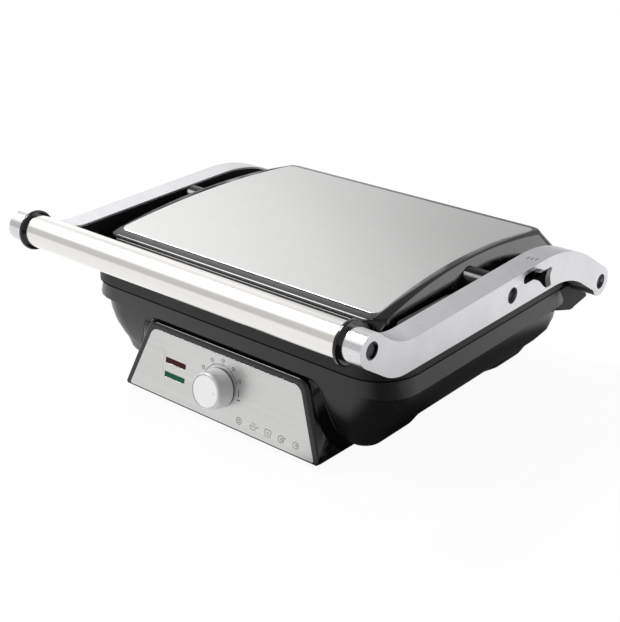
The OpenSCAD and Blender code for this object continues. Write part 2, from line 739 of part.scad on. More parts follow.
module hinge_bracket() {
    difference() {
        union() {
            across(bracket_x0, bracket_t) bracket_outline();
            across(arm_x0 - 0.4 - bracket_web, bracket_web) translate([hinge_y - 34, bracket_low_z])
                square([30, seam_z - 4 - bracket_low_z]);
            // flange that grips round the housing's corner
            translate([0, 0, bracket_low_z]) linear_extrude(seam_z - fit_gap - bracket_low_z)
                intersection() {
                    polygon(plan(arm_x0 - 0.4, 0, bracket_rear_y, rim_corner_r + 2));
                    translate(bowl_corner)
                        polygon([[4, 60], [4, 21.4], [20, 5.4], [50, 5.4], [50, 60]]);
                }
        }
        rod_x(bracket_x0 - cut, bracket_t + 2 * cut, 3, hinge_y, hinge_z);
        bowl_body(fit_gap);
        band_body(fit_gap);
        translate([0, 0, seam_z - fit_gap]) linear_extrude(30)
            polygon(plan(rim_hw + fit_gap, -rim_front, rim_rear + fit_gap, rim_corner_r));
        bracket_screw_places() cylinder(r = 1.55, h = rim_corner_r + 4);
        // underside that rises towards the front
        across(arm_x0 - 70, 100) polygon([
            [hinge_y - 70, bracket_low_z - cut], [hinge_y - 10, bracket_low_z - cut],
            [hinge_y - 10, bracket_low_z], [hinge_y - 39, bracket_low_z + 9],
            [hinge_y - 70, bracket_low_z + 9]
        ]);
        // clear of the arm's round end while it turns
        across(arm_x0 - 0.4, 10) translate([hinge_y, hinge_z]) circle(r = arm_end_r + 2);
    }
}

module right_hinge_bracket() color("#18191b") hinge_bracket();
module left_hinge_bracket() color("#18191b") mirror([1, 0, 0]) hinge_bracket();

module bracket_screws() color("#8d8f92") both_sides() bracket_screw_places() {
    // head on its seat in the housing, thread in the flange
    translate([0, 0, bracket_seat - 2.1]) cylinder(r = 3, h = 2.1);
    translate([0, 0, bracket_seat - 1]) cylinder(r = 1.5, h = 10.6);
}

module hinge_screws() color("#8f9194") both_sides() {
    // head in the arm's recess, shoulder in the bush, thread in the bracket
    rod_x(arm_x1 - recess_d + fit_gap, 3.2, 5.4, hinge_y, hinge_z);
    rod_x(arm_x0 - 0.2, arm_t - recess_d + fit_gap + 0.4, pivot_pin_r, hinge_y, hinge_z);
    rod_x(bracket_x0, bracket_t + 0.4, 2.95, hinge_y, hinge_z);
}

module hinge_bushes() color("#e6e2d6") both_sides() difference() {
    rod_x(arm_x0, arm_t - recess_d, bush_r, hinge_y, hinge_z);
    rod_x(arm_x0 - cut, arm_t, pivot_pin_r + run_gap, hinge_y, hinge_z);
}

// ---------- arms ----------

// Side outline of an arm in (Y, Z)
module arm_outline() {
    limb = [cos(limb_slope), -sin(limb_slope)];
    square_to = [sin(limb_slope), cos(limb_slope)];
    hinge = [hinge_y, hinge_z];
    limb_top = hinge + arm_end_r * square_to;
    limb_low = hinge - (arm_end_r - 2.6) * square_to;
    top_bend = limb_top - limb * (bar_rear_top_z - limb_top[1]) / sin(limb_slope);
    low_bend = limb_low - limb * (bar_bottom_z - limb_low[1]) / sin(limb_slope);
    translate([handle_y, handle_z]) circle(r = arm_end_r);
    translate(hinge) circle(r = arm_end_r);
    polygon(rounded([
        [handle_y - arm_end_r * cos(56), handle_z - arm_end_r * sin(56), 0],
        [handle_y + 27.5, bar_bottom_z, 50],
        [low_bend[0], low_bend[1], 96],
        [limb_low[0], limb_low[1], 0],
        [limb_top[0], limb_top[1], 0],
        [top_bend[0], bar_rear_top_z, 150],
        [handle_y + 34, bar_front_top_z, 60],
        [handle_y + arm_end_r * cos(45), handle_z + arm_end_r * sin(45), 0]
    ], 12));
}

module channel_outline(inset) {
    difference() {
        offset(delta = -inset) arm_outline();
        // solid ends and pivot bosses
        translate([handle_y - 30, handle_z - 60]) square([30 + arm_end_r + 12, 120]);
        translate([lid_pivot_y, lid_pivot_z]) circle(r = recess_r + 4);
        translate([hinge_y, hinge_z]) circle(r = bush_r + 4);
    }
}

// Slot with round ends, l long and h high, round (y, z)
module slot_shape(y, z, l, h) {
    translate([y, z]) {
        square([l - h, h], center = true);
        for (s = [-1, 1]) translate([s * (l - h) / 2, 0]) circle(r = h / 2);
    }
}

module slot_outline(grow) {
    slot_shape(slot_y, slot_z, slot_l + 2 * grow, slot_h + 2 * grow);
}

module arm(with_slot) {
    difference() {
        across(arm_x0, arm_t) arm_outline();
        // turned seat that the black ring sits in
        rod_x(arm_x0 - 2 * cut, ring_x0 + ring_t - arm_x0 + 2 * cut, ring_r + 0.6, handle_y, handle_z);
        // channel in the inner side, with a step for the cover strip
        across(arm_x0 - cut, arm_t - arm_wall + cut) difference() {
            channel_outline(arm_wall);
            if (with_slot) slot_outline(3);
        }
        across(arm_x0 - cut, cover_t + cut) channel_outline(arm_wall - 1.6);
        // recesses and bores of the three screws
        for (p = [[handle_y, handle_z], [lid_pivot_y, lid_pivot_z], [hinge_y, hinge_z]])
            rod_x(arm_x1 - recess_d, recess_d + cut, recess_r, p[0], p[1]);
        rod_x(arm_x0 - 5, arm_t + 10, 3.1, handle_y, handle_z);
        rod_x(arm_x0 - cut, arm_t + 2 * cut, pivot_pin_r + 0.02, lid_pivot_y, lid_pivot_z);
        rod_x(arm_x0 - cut, arm_t + 2 * cut, bush_r + 0.02, hinge_y, hinge_z);
        if (with_slot) across(arm_x0 - cut, arm_t + 2 * cut) slot_outline(0);
    }
}

module right_arm() color("#c6c8ca") arm(true);
module left_arm() color("#c6c8ca") mirror([1, 0, 0]) arm(false);

module cover_screw_places() {
    for (y = [handle_y + 64, handle_y + 130, lid_pivot_y + 62]) translate([0, y, bar_bottom_z + 12.5]) children();
}

module arm_cover(with_slot) {
    difference() {
        across(arm_x0, cover_t) difference() {
            channel_outline(arm_wall - 1.3);
            if (with_slot) slot_outline(fit_gap);
        }
        cover_screw_places() rod_x(arm_x0 - cut, 5, 1.7, 0, 0);
    }
}

module right_arm_cover() color("#141416") arm_cover(true);
module left_arm_cover() color("#141416") mirror([1, 0, 0]) arm_cover(false);

module arm_cover_screws() color("#8d8f92") both_sides() cover_screw_places() {
    rod_x(arm_x0 - 0.9, 0.9, 2.6, 0, 0);
    rod_x(arm_x0 - 0.2, arm_t - arm_wall + 0.2, 1.5, 0, 0);
}

// ---------- handle ----------

ring_x0 = arm_x0 - fit_gap;

module handle_tube() color("#d6d7d8") difference() {
    rod_x(-ring_x0, 2 * ring_x0, handle_r, handle_y, handle_z);
    rod_x(-ring_x0 - cut, 2 * ring_x0 + 2 * cut, handle_r - handle_wall, handle_y, handle_z);
}

module handle_rings() color("#121214") both_sides() translate([ring_x0, handle_y, handle_z])
    rotate([0, 90, 0]) difference() {
        rotate_extrude() polygon([
            [0, 0], [ring_r - 1, 0], [ring_r, 1], [ring_r, ring_t - 1], [ring_r - 1, ring_t], [0, ring_t]
        ]);
        translate([0, 0, -cut]) cylinder(r = 3.2, h = ring_t + 2 * cut);
    }

module handle_plugs() color("#8a8c8f") both_sides() difference() {
    rod_x(ring_x0 - 24, 24, handle_r - handle_wall, handle_y, handle_z);
    rod_x(ring_x0 - 25, 26, 3, handle_y, handle_z);
}

module handle_screws() color("#8f9194") both_sides() {
    rod_x(arm_x1 - recess_d, 4, 5.4, handle_y, handle_z);
    rod_x(ring_x0 - 18, arm_x1 - recess_d - ring_x0 + 18, 2.95, handle_y, handle_z);
}

// ---------- lock lever ----------

module lock_lever() color("#0e0e10") {
    h = slot_h - 2 * fit_gap;
    out_x = arm_x1 + lever_out;
    across(arm_x0 + 0.2, arm_t + 1.6) slot_shape(stem_rest_y, slot_z, stem_l, h);
    // paddle that the thumb pushes, flared and with a hollow face
    translate([0, stem_rest_y, slot_z]) intersection() {
        rotate([90, 0, 0]) translate([0, 0, -paddle_w / 2]) linear_extrude(paddle_w) polygon(rounded([
            [arm_x1 + 0.6, -h / 2, 0], [arm_x1 + 5.5, -h / 2 + 0.4, 5], [out_x, -paddle_h / 2 - 1, 0.8],
            [out_x - 2.4, 0, 14], [out_x, paddle_h / 2 + 1, 0.8], [arm_x1 + 5.5, h / 2 - 0.4, 5],
            [arm_x1 + 0.6, h / 2, 0]
        ], 5));
        across(arm_x1, lever_out + 1) polygon(plan(paddle_w / 2, -paddle_h / 2, paddle_h / 2, 2.6, 5));
    }
}

// ---------- lid ----------

// Ring of the lid's walls; they lean above the seam and stand nearly upright below it
function lid_ring(z, in) =
    let (up = lid_edge_z - max(z, lid_seam_z), low = 0.05 * max(lid_seam_z - z, 0))
    at_z(plan(lid_hw + up * tan(side_lean) + low - in, -lid_front - up * tan(front_lean) - low + in,
        lid_rear + up * tan(rear_lean) + low - in, lid_corner_r + 2 - in / 2, 8), z);

module lid_walls(z0, z1, in) {
    loft([lid_ring(z0, in), lid_ring(z1, in)]);
}

// Body bounded by the steel panel's edges, which lean as the side walls do
module panel_walls(grow) {
    function panel_ring(z) =
        at_z(plan(panel_hw + (lid_edge_z - z) * tan(side_lean) + grow, -panel_front - grow,
            panel_rear + grow, 8, 8), z);
    loft([panel_ring(lid_edge_z - 12), panel_ring(crown_z + 4)]);
}

// Solid bounded above by the crown, turned about an axis across the grill
module crown(drop, x) {
    r = crown_r - drop;
    translate([0, -crown_front, crown_axis_z]) rotate([0, 90, 0]) translate([0, 0, -x])
        cylinder(r = r, h = 2 * x, $fn = 360);
}

// The crown with the borders beside the panel falling away
module shouldered_crown() {
    r = crown_r;
    side = lid_hw + 12;
    edge = panel_hw + 0.8;
    drop = shoulder_drop * (side - edge) / (lid_hw - edge);
    translate([0, -crown_front, crown_axis_z]) rotate([0, 90, 0]) rotate([0, 0, 180 - 12])
        rotate_extrude(angle = 24, $fn = 720) polygon([
            [r - 60, -side], [r - 60, side], [r - drop, side], [r, edge], [r, -edge], [r - drop, -side]
        ]);
}

side_arch_z = 129;      // height of the arches in the cover's sides
side_arch_y = [-126, 76];

// Long arch that frees the lug and the arm on each side of the lid
module side_arches(in) {
    both_sides() across(lid_hw - in, 20) polygon(rounded([
        [side_arch_y[0], lid_low_z - 4, 0], [side_arch_y[1] + 12, lid_low_z - 4, 0],
        [side_arch_y[1], side_arch_z, 30], [side_arch_y[0] + 3, side_arch_z, 8]
    ]));
}

module lug_bore(grow) {
    both_sides() rod_x(lug_in_x - fit_gap / 2, 30, lug_r + grow, lid_pivot_y, lid_pivot_z);
}

module lid_cover() color("#121316") {
    difference() {
        intersection() {
            lid_walls(lid_seam_z, crown_z + 2, 0);
            shouldered_crown();
        }
        difference() {
            intersection() {
                lid_walls(lid_seam_z - cut, crown_z + 2, lid_wall);
                crown(lid_wall + panel_t, lid_hw + 12);
            }
            // bosses that take the lid's screws
            lid_screw_places() translate([0, 0, lid_seam_z - cut]) cylinder(r = 4, h = 60);
            // thicker walls behind the arches
            both_sides() translate([lid_hw - arch_in - lid_wall, -lid_front, lid_seam_z - cut])
                cube([20, lid_front + lid_rear, side_arch_z + lid_wall - lid_seam_z + cut]);
        }
        // seat of the steel panel
        difference() {
            panel_walls(0.15);
            crown(panel_t, lid_hw);
        }
        lid_screw_places() translate([0, 0, lid_seam_z - cut]) cylinder(r = 1.55, h = cut + 6);
        side_arches(arch_in);
        lug_bore(0.1);
    }
}

module lid_panel() color("#d2d3d3") {
    intersection() {
        panel_walls(0);
        difference() {
            crown(0, lid_hw);
            crown(panel_t, lid_hw + 1);
        }
    }
}

module lid_screw_places() {
    for (x = [-1, 1], y = [-plate_front - 8, plate_rear + 4.4]) translate([x * 118, y, 0]) children();
}

module lid_frame() color("#1b1c1e") {
    difference() {
        lid_walls(lid_low_z, lid_seam_z, 0);
        // opening for the upper plate, up to its ledge
        slab(plate_hw + 1, -plate_front - 1, plate_rear + 1, plate_corner_r + 1, lid_low_z - cut, plate_up_z);
        slab(plate_hw - ledge_in, -plate_front + ledge_in, plate_rear - ledge_in, plate_corner_r,
            lid_low_z, lid_seam_z + 10);
        side_arches(arch_in);
        lug_bore(0.1);
        lid_screw_places() {
            translate([0, 0, lid_low_z]) cylinder(r = 1.8, h = 30);
            translate([0, 0, lid_low_z - cut]) cylinder(r = 3, h = 4 + cut);
        }
        plate_screw_places() translate([0, 0, plate_up_z - cut]) cylinder(r = 1.8, h = 10);
    }
}

module lid_screws() color("#8d8f92") {
    // four that hold the cover on the frame
    lid_screw_places() {
        translate([0, 0, lid_low_z + 1.6]) cylinder(r = 2.8, h = 2.2);
        translate([0, 0, lid_low_z + 2]) cylinder(r = 1.5, h = lid_frame_h + 3.5);
    }
    // four that hold the plate under the frame's ledge
    plate_screw_places() {
        translate([0, 0, lid_seam_z + 0.1]) cylinder(r = 2.6, h = 1.8);
        translate([0, 0, plate_up_z - plate_t + 1.2]) cylinder(r = 1.5, h = lid_seam_z - plate_up_z + plate_t);
    }
}

arch_in = 1.5;                 // how far the arches are let into the lid's sides
lug_in_x = plate_hw + 2.2;     // inner end of a lug

module lid_lug() {
    difference() {
        union() {
            rod_x(lug_in_x, arm_x0 - 0.4 - lug_in_x, lug_r, lid_pivot_y, lid_pivot_z);
        }
        rod_x(lug_in_x - cut, 40, pivot_pin_r + run_gap, lid_pivot_y, lid_pivot_z);
    }
}

module right_lid_lug() color("#141416") lid_lug();
module left_lid_lug() color("#141416") mirror([1, 0, 0]) lid_lug();

module lid_pivot_screws() color("#8f9194") both_sides() {
    rod_x(arm_x1 - recess_d, 3.2, 5.4, lid_pivot_y, lid_pivot_z);
    rod_x(lug_in_x + 4, arm_x1 - recess_d - lug_in_x - 4, pivot_pin_r, lid_pivot_y, lid_pivot_z);
}

// ---------- assembly ----------

base_housing();
base_rim();
lower_grill_plate();
lower_heating_element();
lower_heat_shield();
control_box();
fascia_plate();
red_lens();
green_lens();
indicator_lamps();
thermostat_body();
thermostat_shaft();
control_knob();
knob_cap();
left_hinge_bracket();
right_hinge_bracket();
hinge_screws();
bracket_screws();
rubber_feet();
housing_screws();
cord_gland();
plate_screws();
left_arm();
right_arm();
left_arm_cover();
right_arm_cover();
arm_cover_screws();
handle_tube();
handle_rings();
handle_plugs();
handle_screws();
hinge_bushes();
lid_pivot_screws();
lock_lever();
lid_cover();
lid_panel();
lid_frame();
left_lid_lug();
right_lid_lug();
upper_grill_plate();
upper_heating_element();
upper_heat_shield();
lid_screws();
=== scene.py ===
"""Electric contact grill with a floating lid: finishes, fine trim, studio and camera."""

import logging
import math
from collections.abc import Callable
from dataclasses import dataclass, field
from enum import Enum

import bmesh
import bpy
from mathutils import Matrix, Vector
from mathutils.bvhtree import BVHTree


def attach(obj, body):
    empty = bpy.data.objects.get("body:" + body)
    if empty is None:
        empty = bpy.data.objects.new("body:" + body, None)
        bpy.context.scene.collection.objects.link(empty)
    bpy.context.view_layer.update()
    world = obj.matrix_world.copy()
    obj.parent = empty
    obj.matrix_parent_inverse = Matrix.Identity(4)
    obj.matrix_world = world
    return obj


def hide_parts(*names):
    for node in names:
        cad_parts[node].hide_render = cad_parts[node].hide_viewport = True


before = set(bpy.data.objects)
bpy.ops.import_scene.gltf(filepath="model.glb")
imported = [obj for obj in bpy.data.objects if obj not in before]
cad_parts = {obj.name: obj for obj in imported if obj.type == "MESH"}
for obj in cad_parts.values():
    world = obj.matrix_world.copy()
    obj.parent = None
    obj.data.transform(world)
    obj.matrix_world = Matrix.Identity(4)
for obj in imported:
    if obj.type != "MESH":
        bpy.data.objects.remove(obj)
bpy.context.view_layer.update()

LOG = logging.getLogger("grill")
MM = 0.001


def linear(colour: str) -> tuple[float, float, float, float]:
    """Turn an sRGB hex colour to linear RGBA.

    Args:
        colour: The colour as #rrggbb.

    Returns:
        Four linear channels, the last one 1.
    """
    parts = [int(colour[i:i + 2], 16) / 255 for i in (1, 3, 5)]
    return tuple([p / 12.92 if p <= 0.04045 else ((p + 0.055) / 1.055) ** 2.4 for p in parts] + [1.0])


def add(tree: bpy.types.NodeTree, kind: str, settings: dict | None = None,
        links: dict | None = None) -> bpy.types.Node:
    """Add a node to a tree with its settings and the links into it.

    Args:
        tree: The tree that gets the node.
        kind: The node's type name without its ShaderNode prefix.
        settings: Values by attribute name, or by input name or number.
        links: Output sockets by input name or number.

    Returns:
        The new node.
    """
    made = tree.nodes.new("ShaderNode" + kind)
    for key, value in (settings or {}).items():
        if isinstance(key, str) and hasattr(made, key):
            setattr(made, key, value)
        else:
            made.inputs[key].default_value = value
    for key, source in (links or {}).items():
        tree.links.new(source, made.inputs[key])
    return made


class Along(Enum):
    """Direction that a finish was brushed or drawn in; its pattern is sixty times finer the other ways."""

    WIDTH = (1.0, 60.0, 60.0)
    DEPTH = (60.0, 1.0, 60.0)


class Surface:
    """A material in the making: one principled shader and the Object coordinates that its patterns read."""

    def __init__(self, name: str) -> None:
        """Start the material.

        Args:
            name: The material's name.
        """
        self.mat = bpy.data.materials.new(name)
        self.mat.use_nodes = True
        self.tree = self.mat.node_tree
        self.tree.nodes.clear()
        self.shader = self.tree.nodes.new("ShaderNodeBsdfPrincipled")
        out = self.tree.nodes.new("ShaderNodeOutputMaterial")
        self.tree.links.new(self.shader.outputs["BSDF"], out.inputs["Surface"])
        self.place = add(self.tree, "TexCoord").outputs["Object"]

    def spread(self, pattern: bpy.types.NodeSocket, low: float, high: float) -> bpy.types.NodeSocket:
        """Spread the middle of a noise over a range of values.

        Args:
            pattern: The noise.
            low: The least value.
            high: The greatest value.

        Returns:
            The value.
        """
        return add(self.tree, "MapRange", {"From Min": 0.3, "From Max": 0.7, "To Min": low, "To Max": high},
                   {"Value": pattern}).outputs["Result"]

    def roughen(self, level: bpy.types.NodeSocket) -> None:
        """Let a value drive the roughness."""
        self.tree.links.new(level, self.shader.inputs["Roughness"])

    def tint(self, colour: str, factor: bpy.types.NodeSocket, dark: float, light: float) -> None:
        """Let a pattern drive the base colour between a darker and a lighter shade.

        Args:
            colour: The colour as #rrggbb.
            factor: The pattern, 0 for dark and 1 for light.
            dark: Brightness of the dark shade against the colour's.
            light: Brightness of the light shade.
        """
        base = Vector(linear(colour)[:3])
        shade = add(self.tree, "Mix", {"data_type": "RGBA", 6: (*(base * dark), 1.0),
                                       7: (*(base * light), 1.0)}, {0: factor})
        self.tree.links.new(shade.outputs[2], self.shader.inputs["Base Color"])

    def emboss(self, height: bpy.types.NodeSocket, strength: float, depth_mm: float) -> None:
        """Let a pattern stand out from the surface.

        Args:
            height: The pattern.
            strength: How much of the bump shows.
            depth_mm: Its depth.
        """
        bump = add(self.tree, "Bump", {"Strength": strength, "Distance": depth_mm * MM}, {"Height": height})
        self.tree.links.new(bump.outputs["Normal"], self.shader.inputs["Normal"])


@dataclass(frozen=True)
class MouldedPlastic:
    """Injection-moulded plastic: pigment with faint flecks, and a spark-eroded grain."""

    name: str
    colour: str
    roughness: float
    grain_mm: float
    grain_depth: float
    fleck: float
    shine: float = 0.5

    def material(self) -> bpy.types.Material:
        """Build the material."""
        made = Surface(self.name)
        made.shader.inputs["IOR"].default_value = 1.5
        made.shader.inputs["Specular IOR Level"].default_value = self.shine
        grain = add(made.tree, "TexNoise", {"Scale": 1 / (self.grain_mm * MM), "Detail": 2.0,
                                            "Roughness": 0.6}, {"Vector": made.place}).outputs["Fac"]
        made.roughen(made.spread(grain, self.roughness - 0.05, self.roughness + 0.07))
        # flow of the melt, a few centimetres wide, on top of the grain
        wide = add(made.tree, "TexNoise", {"Scale": 18.0, "Detail": 3.0},
                   {"Vector": made.place}).outputs["Fac"]
        both = add(made.tree, "Math", {"operation": "MULTIPLY_ADD", 1: 0.75}, {0: grain, 2: wide})
        lift = add(made.tree, "MapRange", {"From Min": 0.6, "From Max": 1.2},
                   {"Value": both.outputs["Value"]})
        made.tint(self.colour, lift.outputs["Result"], 1 - self.fleck, 1 + self.fleck)
        made.emboss(grain, 0.35, self.grain_depth)
        return made.mat


@dataclass(frozen=True)
class BrushedMetal:
    """Metal brushed with grit: short parallel scratches that draw highlights out sideways."""

    name: str
    colour: str
    roughness: float
    spread: float
    line_mm: float
    along: Along = Along.WIDTH
    depth_mm: float = 0.006
    tone: float = 0.05
    metallic: float = 1.0

    def material(self) -> bpy.types.Material:
        """Build the material."""
        made = Surface(self.name)
        made.shader.inputs["Metallic"].default_value = self.metallic
        run = add(made.tree, "Mapping", {"Scale": self.along.value}, {"Vector": made.place}).outputs["Vector"]
        # the mapping makes the pattern sixty times finer across, so the scratches' width is given sixty times
        scale = 1 / (60 * self.line_mm * MM)
        fine = add(made.tree, "TexNoise", {"Scale": scale, "Detail": 4.0, "Roughness": 0.75},
                   {"Vector": run}).outputs["Fac"]
        wide = add(made.tree, "TexNoise", {"Scale": scale / 12, "Detail": 2.0},
                   {"Vector": run}).outputs["Fac"]
        made.roughen(made.spread(fine, self.roughness - self.spread, self.roughness + self.spread))
        streak = add(made.tree, "Math", {"operation": "MULTIPLY_ADD", 1: 0.5}, {0: wide, 2: fine})
        lift = add(made.tree, "MapRange", {"From Min": 0.55, "From Max": 0.95},
                   {"Value": streak.outputs["Value"]})
        made.tint(self.colour, lift.outputs["Result"], 1 - self.tone, 1 + self.tone)
        made.emboss(fine, 0.25, self.depth_mm)
        return made.mat


@dataclass(frozen=True)
class CastAluminium:
    """Die-cast aluminium, tumbled to a fine satin, with its handle boss turned and polished."""

    name: str
    colour: str
    roughness: float
    polished: float = 0.16
    boss_y: float = -200.0
    boss_z: float = 147.0
    boss_r: float = 13.7
    face_x: float = 192.2

    def turned(self, made: Surface) -> bpy.types.NodeSocket:
        """Give 1 where the boss is turned: inside its radius and short of the flat outer face, else 0.

        Args:
            made: The material in the making.

        Returns:
            The mask.
        """
        axes = add(made.tree, "SeparateXYZ", {}, {"Vector": made.place})
        off = add(made.tree, "CombineXYZ", {"X": 0.0}, {"Y": axes.outputs["Y"], "Z": axes.outputs["Z"]})
        centre = (0, self.boss_y * MM, self.boss_z * MM)
        from_axis = add(made.tree, "VectorMath", {"operation": "DISTANCE", 1: centre},
                        {0: off.outputs["Vector"]})
        near = add(made.tree, "Math", {"operation": "LESS_THAN", 1: self.boss_r * MM},
                   {0: from_axis.outputs["Value"]})
        side = add(made.tree, "Math", {"operation": "ABSOLUTE"}, {0: axes.outputs["X"]})
        short = add(made.tree, "Math", {"operation": "LESS_THAN", 1: self.face_x * MM},
                    {0: side.outputs["Value"]})
        return add(made.tree, "Math", {"operation": "MULTIPLY"},
                   {0: near.outputs["Value"], 1: short.outputs["Value"]}).outputs["Value"]

    def material(self) -> bpy.types.Material:
        """Build the material."""
        made = Surface(self.name)
        made.shader.inputs["Metallic"].default_value = 1.0
        speck = add(made.tree, "TexNoise", {"Scale": 1 / (0.8 * MM), "Detail": 3.0, "Roughness": 0.65},
                    {"Vector": made.place}).outputs["Fac"]
        cloud = add(made.tree, "TexNoise", {"Scale": 1 / (22 * MM), "Detail": 3.0}, {"Vector": made.place})
        satin = made.spread(speck, self.roughness - 0.06, self.roughness + 0.08)
        rough = add(made.tree, "Mix", {"data_type": "FLOAT", 3: self.polished},
                    {0: self.turned(made), 2: satin})
        made.roughen(rough.outputs[0])
        both = add(made.tree, "Math", {"operation": "MULTIPLY_ADD", 1: 0.3},
                   {0: cloud.outputs["Fac"], 2: speck})
        lift = add(made.tree, "MapRange", {"From Min": 0.45, "From Max": 0.85},
                   {"Value": both.outputs["Value"]})
        made.tint(self.colour, lift.outputs["Result"], 0.82, 1.06)
        made.emboss(speck, 0.3, 0.02)
        return made.mat


@dataclass(frozen=True)
class SmallMetal:
    """Plain small metal: plated screws, sheet, sheaths and shafts, with faint mottling."""

    name: str
    colour: str
    roughness: float
    mottle_mm: float = 3.0
    metallic: float = 1.0

    def material(self) -> bpy.types.Material:
        """Build the material."""
        made = Surface(self.name)
        made.shader.inputs["Metallic"].default_value = self.metallic
        mottle = add(made.tree, "TexNoise", {"Scale": 1 / (self.mottle_mm * MM), "Detail": 4.0},
                     {"Vector": made.place}).outputs["Fac"]
        made.roughen(made.spread(mottle, self.roughness - 0.06, self.roughness + 0.08))
        made.tint(self.colour, mottle, 0.85, 1.1)
        return made.mat


@dataclass(frozen=True)
class TintedLens:
    """Clear acrylic dyed red or green: dark when unlit, smooth, with a fine inside ribbing."""

    name: str
    colour: str
    glow: float

    def material(self) -> bpy.types.Material:
        """Build the material."""
        made = Surface(self.name)
        # the lamps behind are unlit: the emission is a faint painted glow in the dye's colour
        settings = {"Roughness": 0.2, "IOR": 1.49, "Specular IOR Level": 0.12,
                    "Emission Color": linear(self.colour), "Emission Strength": self.glow}
        for socket, value in settings.items():
            made.shader.inputs[socket].default_value = value
        ribs = add(made.tree, "TexWave", {"bands_direction": "X", "Scale": 320.0, "Distortion": 0.0},
                   {"Vector": made.place})
        made.tint(self.colour, ribs.outputs["Fac"], 0.7, 1.3)
        return made.mat


FINISHES = {
    # ABS from a finely eroded mould: an even satin that shows the bowl's shape in soft highlights
    "satin_black": MouldedPlastic("satin_black_abs", "#1a1b1c", 0.29, grain_mm=0.5, grain_depth=0.010,
                                  fleck=0.10, shine=0.40),
    # the same from a coarser mould: a speckled, almost dull band round the plate
    "grained_black": MouldedPlastic("grained_black_abs", "#191a1a", 0.50, grain_mm=0.9, grain_depth=0.05,
                                    fleck=0.40, shine=0.30),
    # ABS from a polished mould: deep black with clear reflections
    "gloss_black": MouldedPlastic("gloss_black_abs", "#030304", 0.12, grain_mm=6.0, grain_depth=0.002,
                                  fleck=0.10),
    "lug_black": MouldedPlastic("lug_black_nylon", "#040405", 0.10, grain_mm=4.0, grain_depth=0.002,
                                fleck=0.10, shine=0.22),
    # the box's ridge edge: greyer, as a painted highlight along the ridge, with a wider highlight
    "flank_edge": MouldedPlastic("ridge_highlight_grey_abs", "#2a2b2c", 0.45, grain_mm=0.8, grain_depth=0.01,
                                 fleck=0.10, shine=0.40),
    # glass-filled nylon: hardly any highlight
    "matt_black": MouldedPlastic("matt_black_nylon", "#0d0e0f", 0.48, grain_mm=0.8, grain_depth=0.03,
                                 fleck=0.15, shine=0.14),
    # near black, as painted shade in the joint at the rim's foot
    "joint": MouldedPlastic("joint_shadow_black", "#050505", 0.7, grain_mm=0.8, grain_depth=0.02,
                            fleck=0.10, shine=0.05),
    "rubber": MouldedPlastic("moulded_rubber", "#161617", 0.75, grain_mm=0.6, grain_depth=0.04, fleck=0.20),
    "ceramic": MouldedPlastic("steatite", "#cfcabd", 0.6, grain_mm=1.0, grain_depth=0.03, fleck=0.05),
    "nylon": MouldedPlastic("natural_nylon", "#e6e2d6", 0.45, grain_mm=1.0, grain_depth=0.01, fleck=0.03),
    # sprayed and baked on the cast plates: grey specks under a soft sheen
    "coated_cast": MouldedPlastic("nonstick_coating", "#202124", 0.36, grain_mm=0.7, grain_depth=0.04,
                                  fleck=0.35),
    # stainless sheet, belt-brushed across: faint lines, drawn wider than the real ones so that they show
    "panel_steel": BrushedMetal("brushed_panel_steel", "#cdcdcc", 0.34, spread=0.04, line_mm=0.35,
                                depth_mm=0.003, tone=0.02),
    "fascia_steel": BrushedMetal("brushed_fascia_steel", "#c4c4c3", 0.36, spread=0.06, line_mm=0.3),
    # stainless tube, brushed along and polished: long streaks of bright and dark
    "tube_steel": BrushedMetal("brushed_tube_steel", "#dcdad7", 0.17, spread=0.04, line_mm=0.25,
                               depth_mm=0.005, tone=0.03),
    # die-cast and tumbled: a pale satin without direction
    "cast": CastAluminium("tumbled_cast_aluminium", "#d2d1d4", 0.36),
    # turned and anodised: pale and milky, so it is only partly metallic
    "knob": BrushedMetal("satin_knob_aluminium", "#dcdcdd", 0.5, spread=0.04, line_mm=0.25,
                         along=Along.DEPTH, depth_mm=0.003, tone=0.03, metallic=0.4),
    "cap": BrushedMetal("satin_cap_aluminium", "#e0e0e1", 0.34, spread=0.03, line_mm=0.2, depth_mm=0.002,
                        tone=0.02),
    "screw": SmallMetal("zinc_plated_steel", "#8d8f92", 0.35),
    "dark_screw": SmallMetal("blackened_steel", "#3a3c40", 0.32),
    "sheath": SmallMetal("heat_tinted_sheath", "#6a6462", 0.42, mottle_mm=6.0),
    "sheet": SmallMetal("aluminised_sheet", "#b9bcc0", 0.30, mottle_mm=8.0),
    "lamp": SmallMetal("neon_glass", "#d9b98c", 0.15, mottle_mm=4.0, metallic=0.0),
    "red": TintedLens("red_acrylic", "#3a0b0a", glow=0.15),
    "green": TintedLens("green_acrylic", "#0a543c", glow=0.22),
    # silk-screened ink: flat and hardly glossy
    "ink": MouldedPlastic("screen_ink", "#1c1d1f", 0.5, grain_mm=0.6, grain_depth=0.01, fleck=0.10),
    "dark_ink": MouldedPlastic("dark_screen_ink", "#17181a", 0.45, grain_mm=0.6, grain_depth=0.01,
                               fleck=0.10),
}
_MADE: dict[str, bpy.types.Material] = {}


def finish(key: str) -> bpy.types.Material:
    """Give a finish's material, built on first use.

    Args:
        key: The finish's name in FINISHES.

    Returns:
        The material.
    """
    if key not in _MADE:
        _MADE[key] = FINISHES[key].material()
    return _MADE[key]


def set_material(obj: bpy.types.Object, key: str) -> None:
    """Give an object one finish on its whole surface.

    Args:
        obj: The object.
        key: The finish's name.
    """
    obj.data.materials.clear()
    obj.data.materials.append(finish(key))


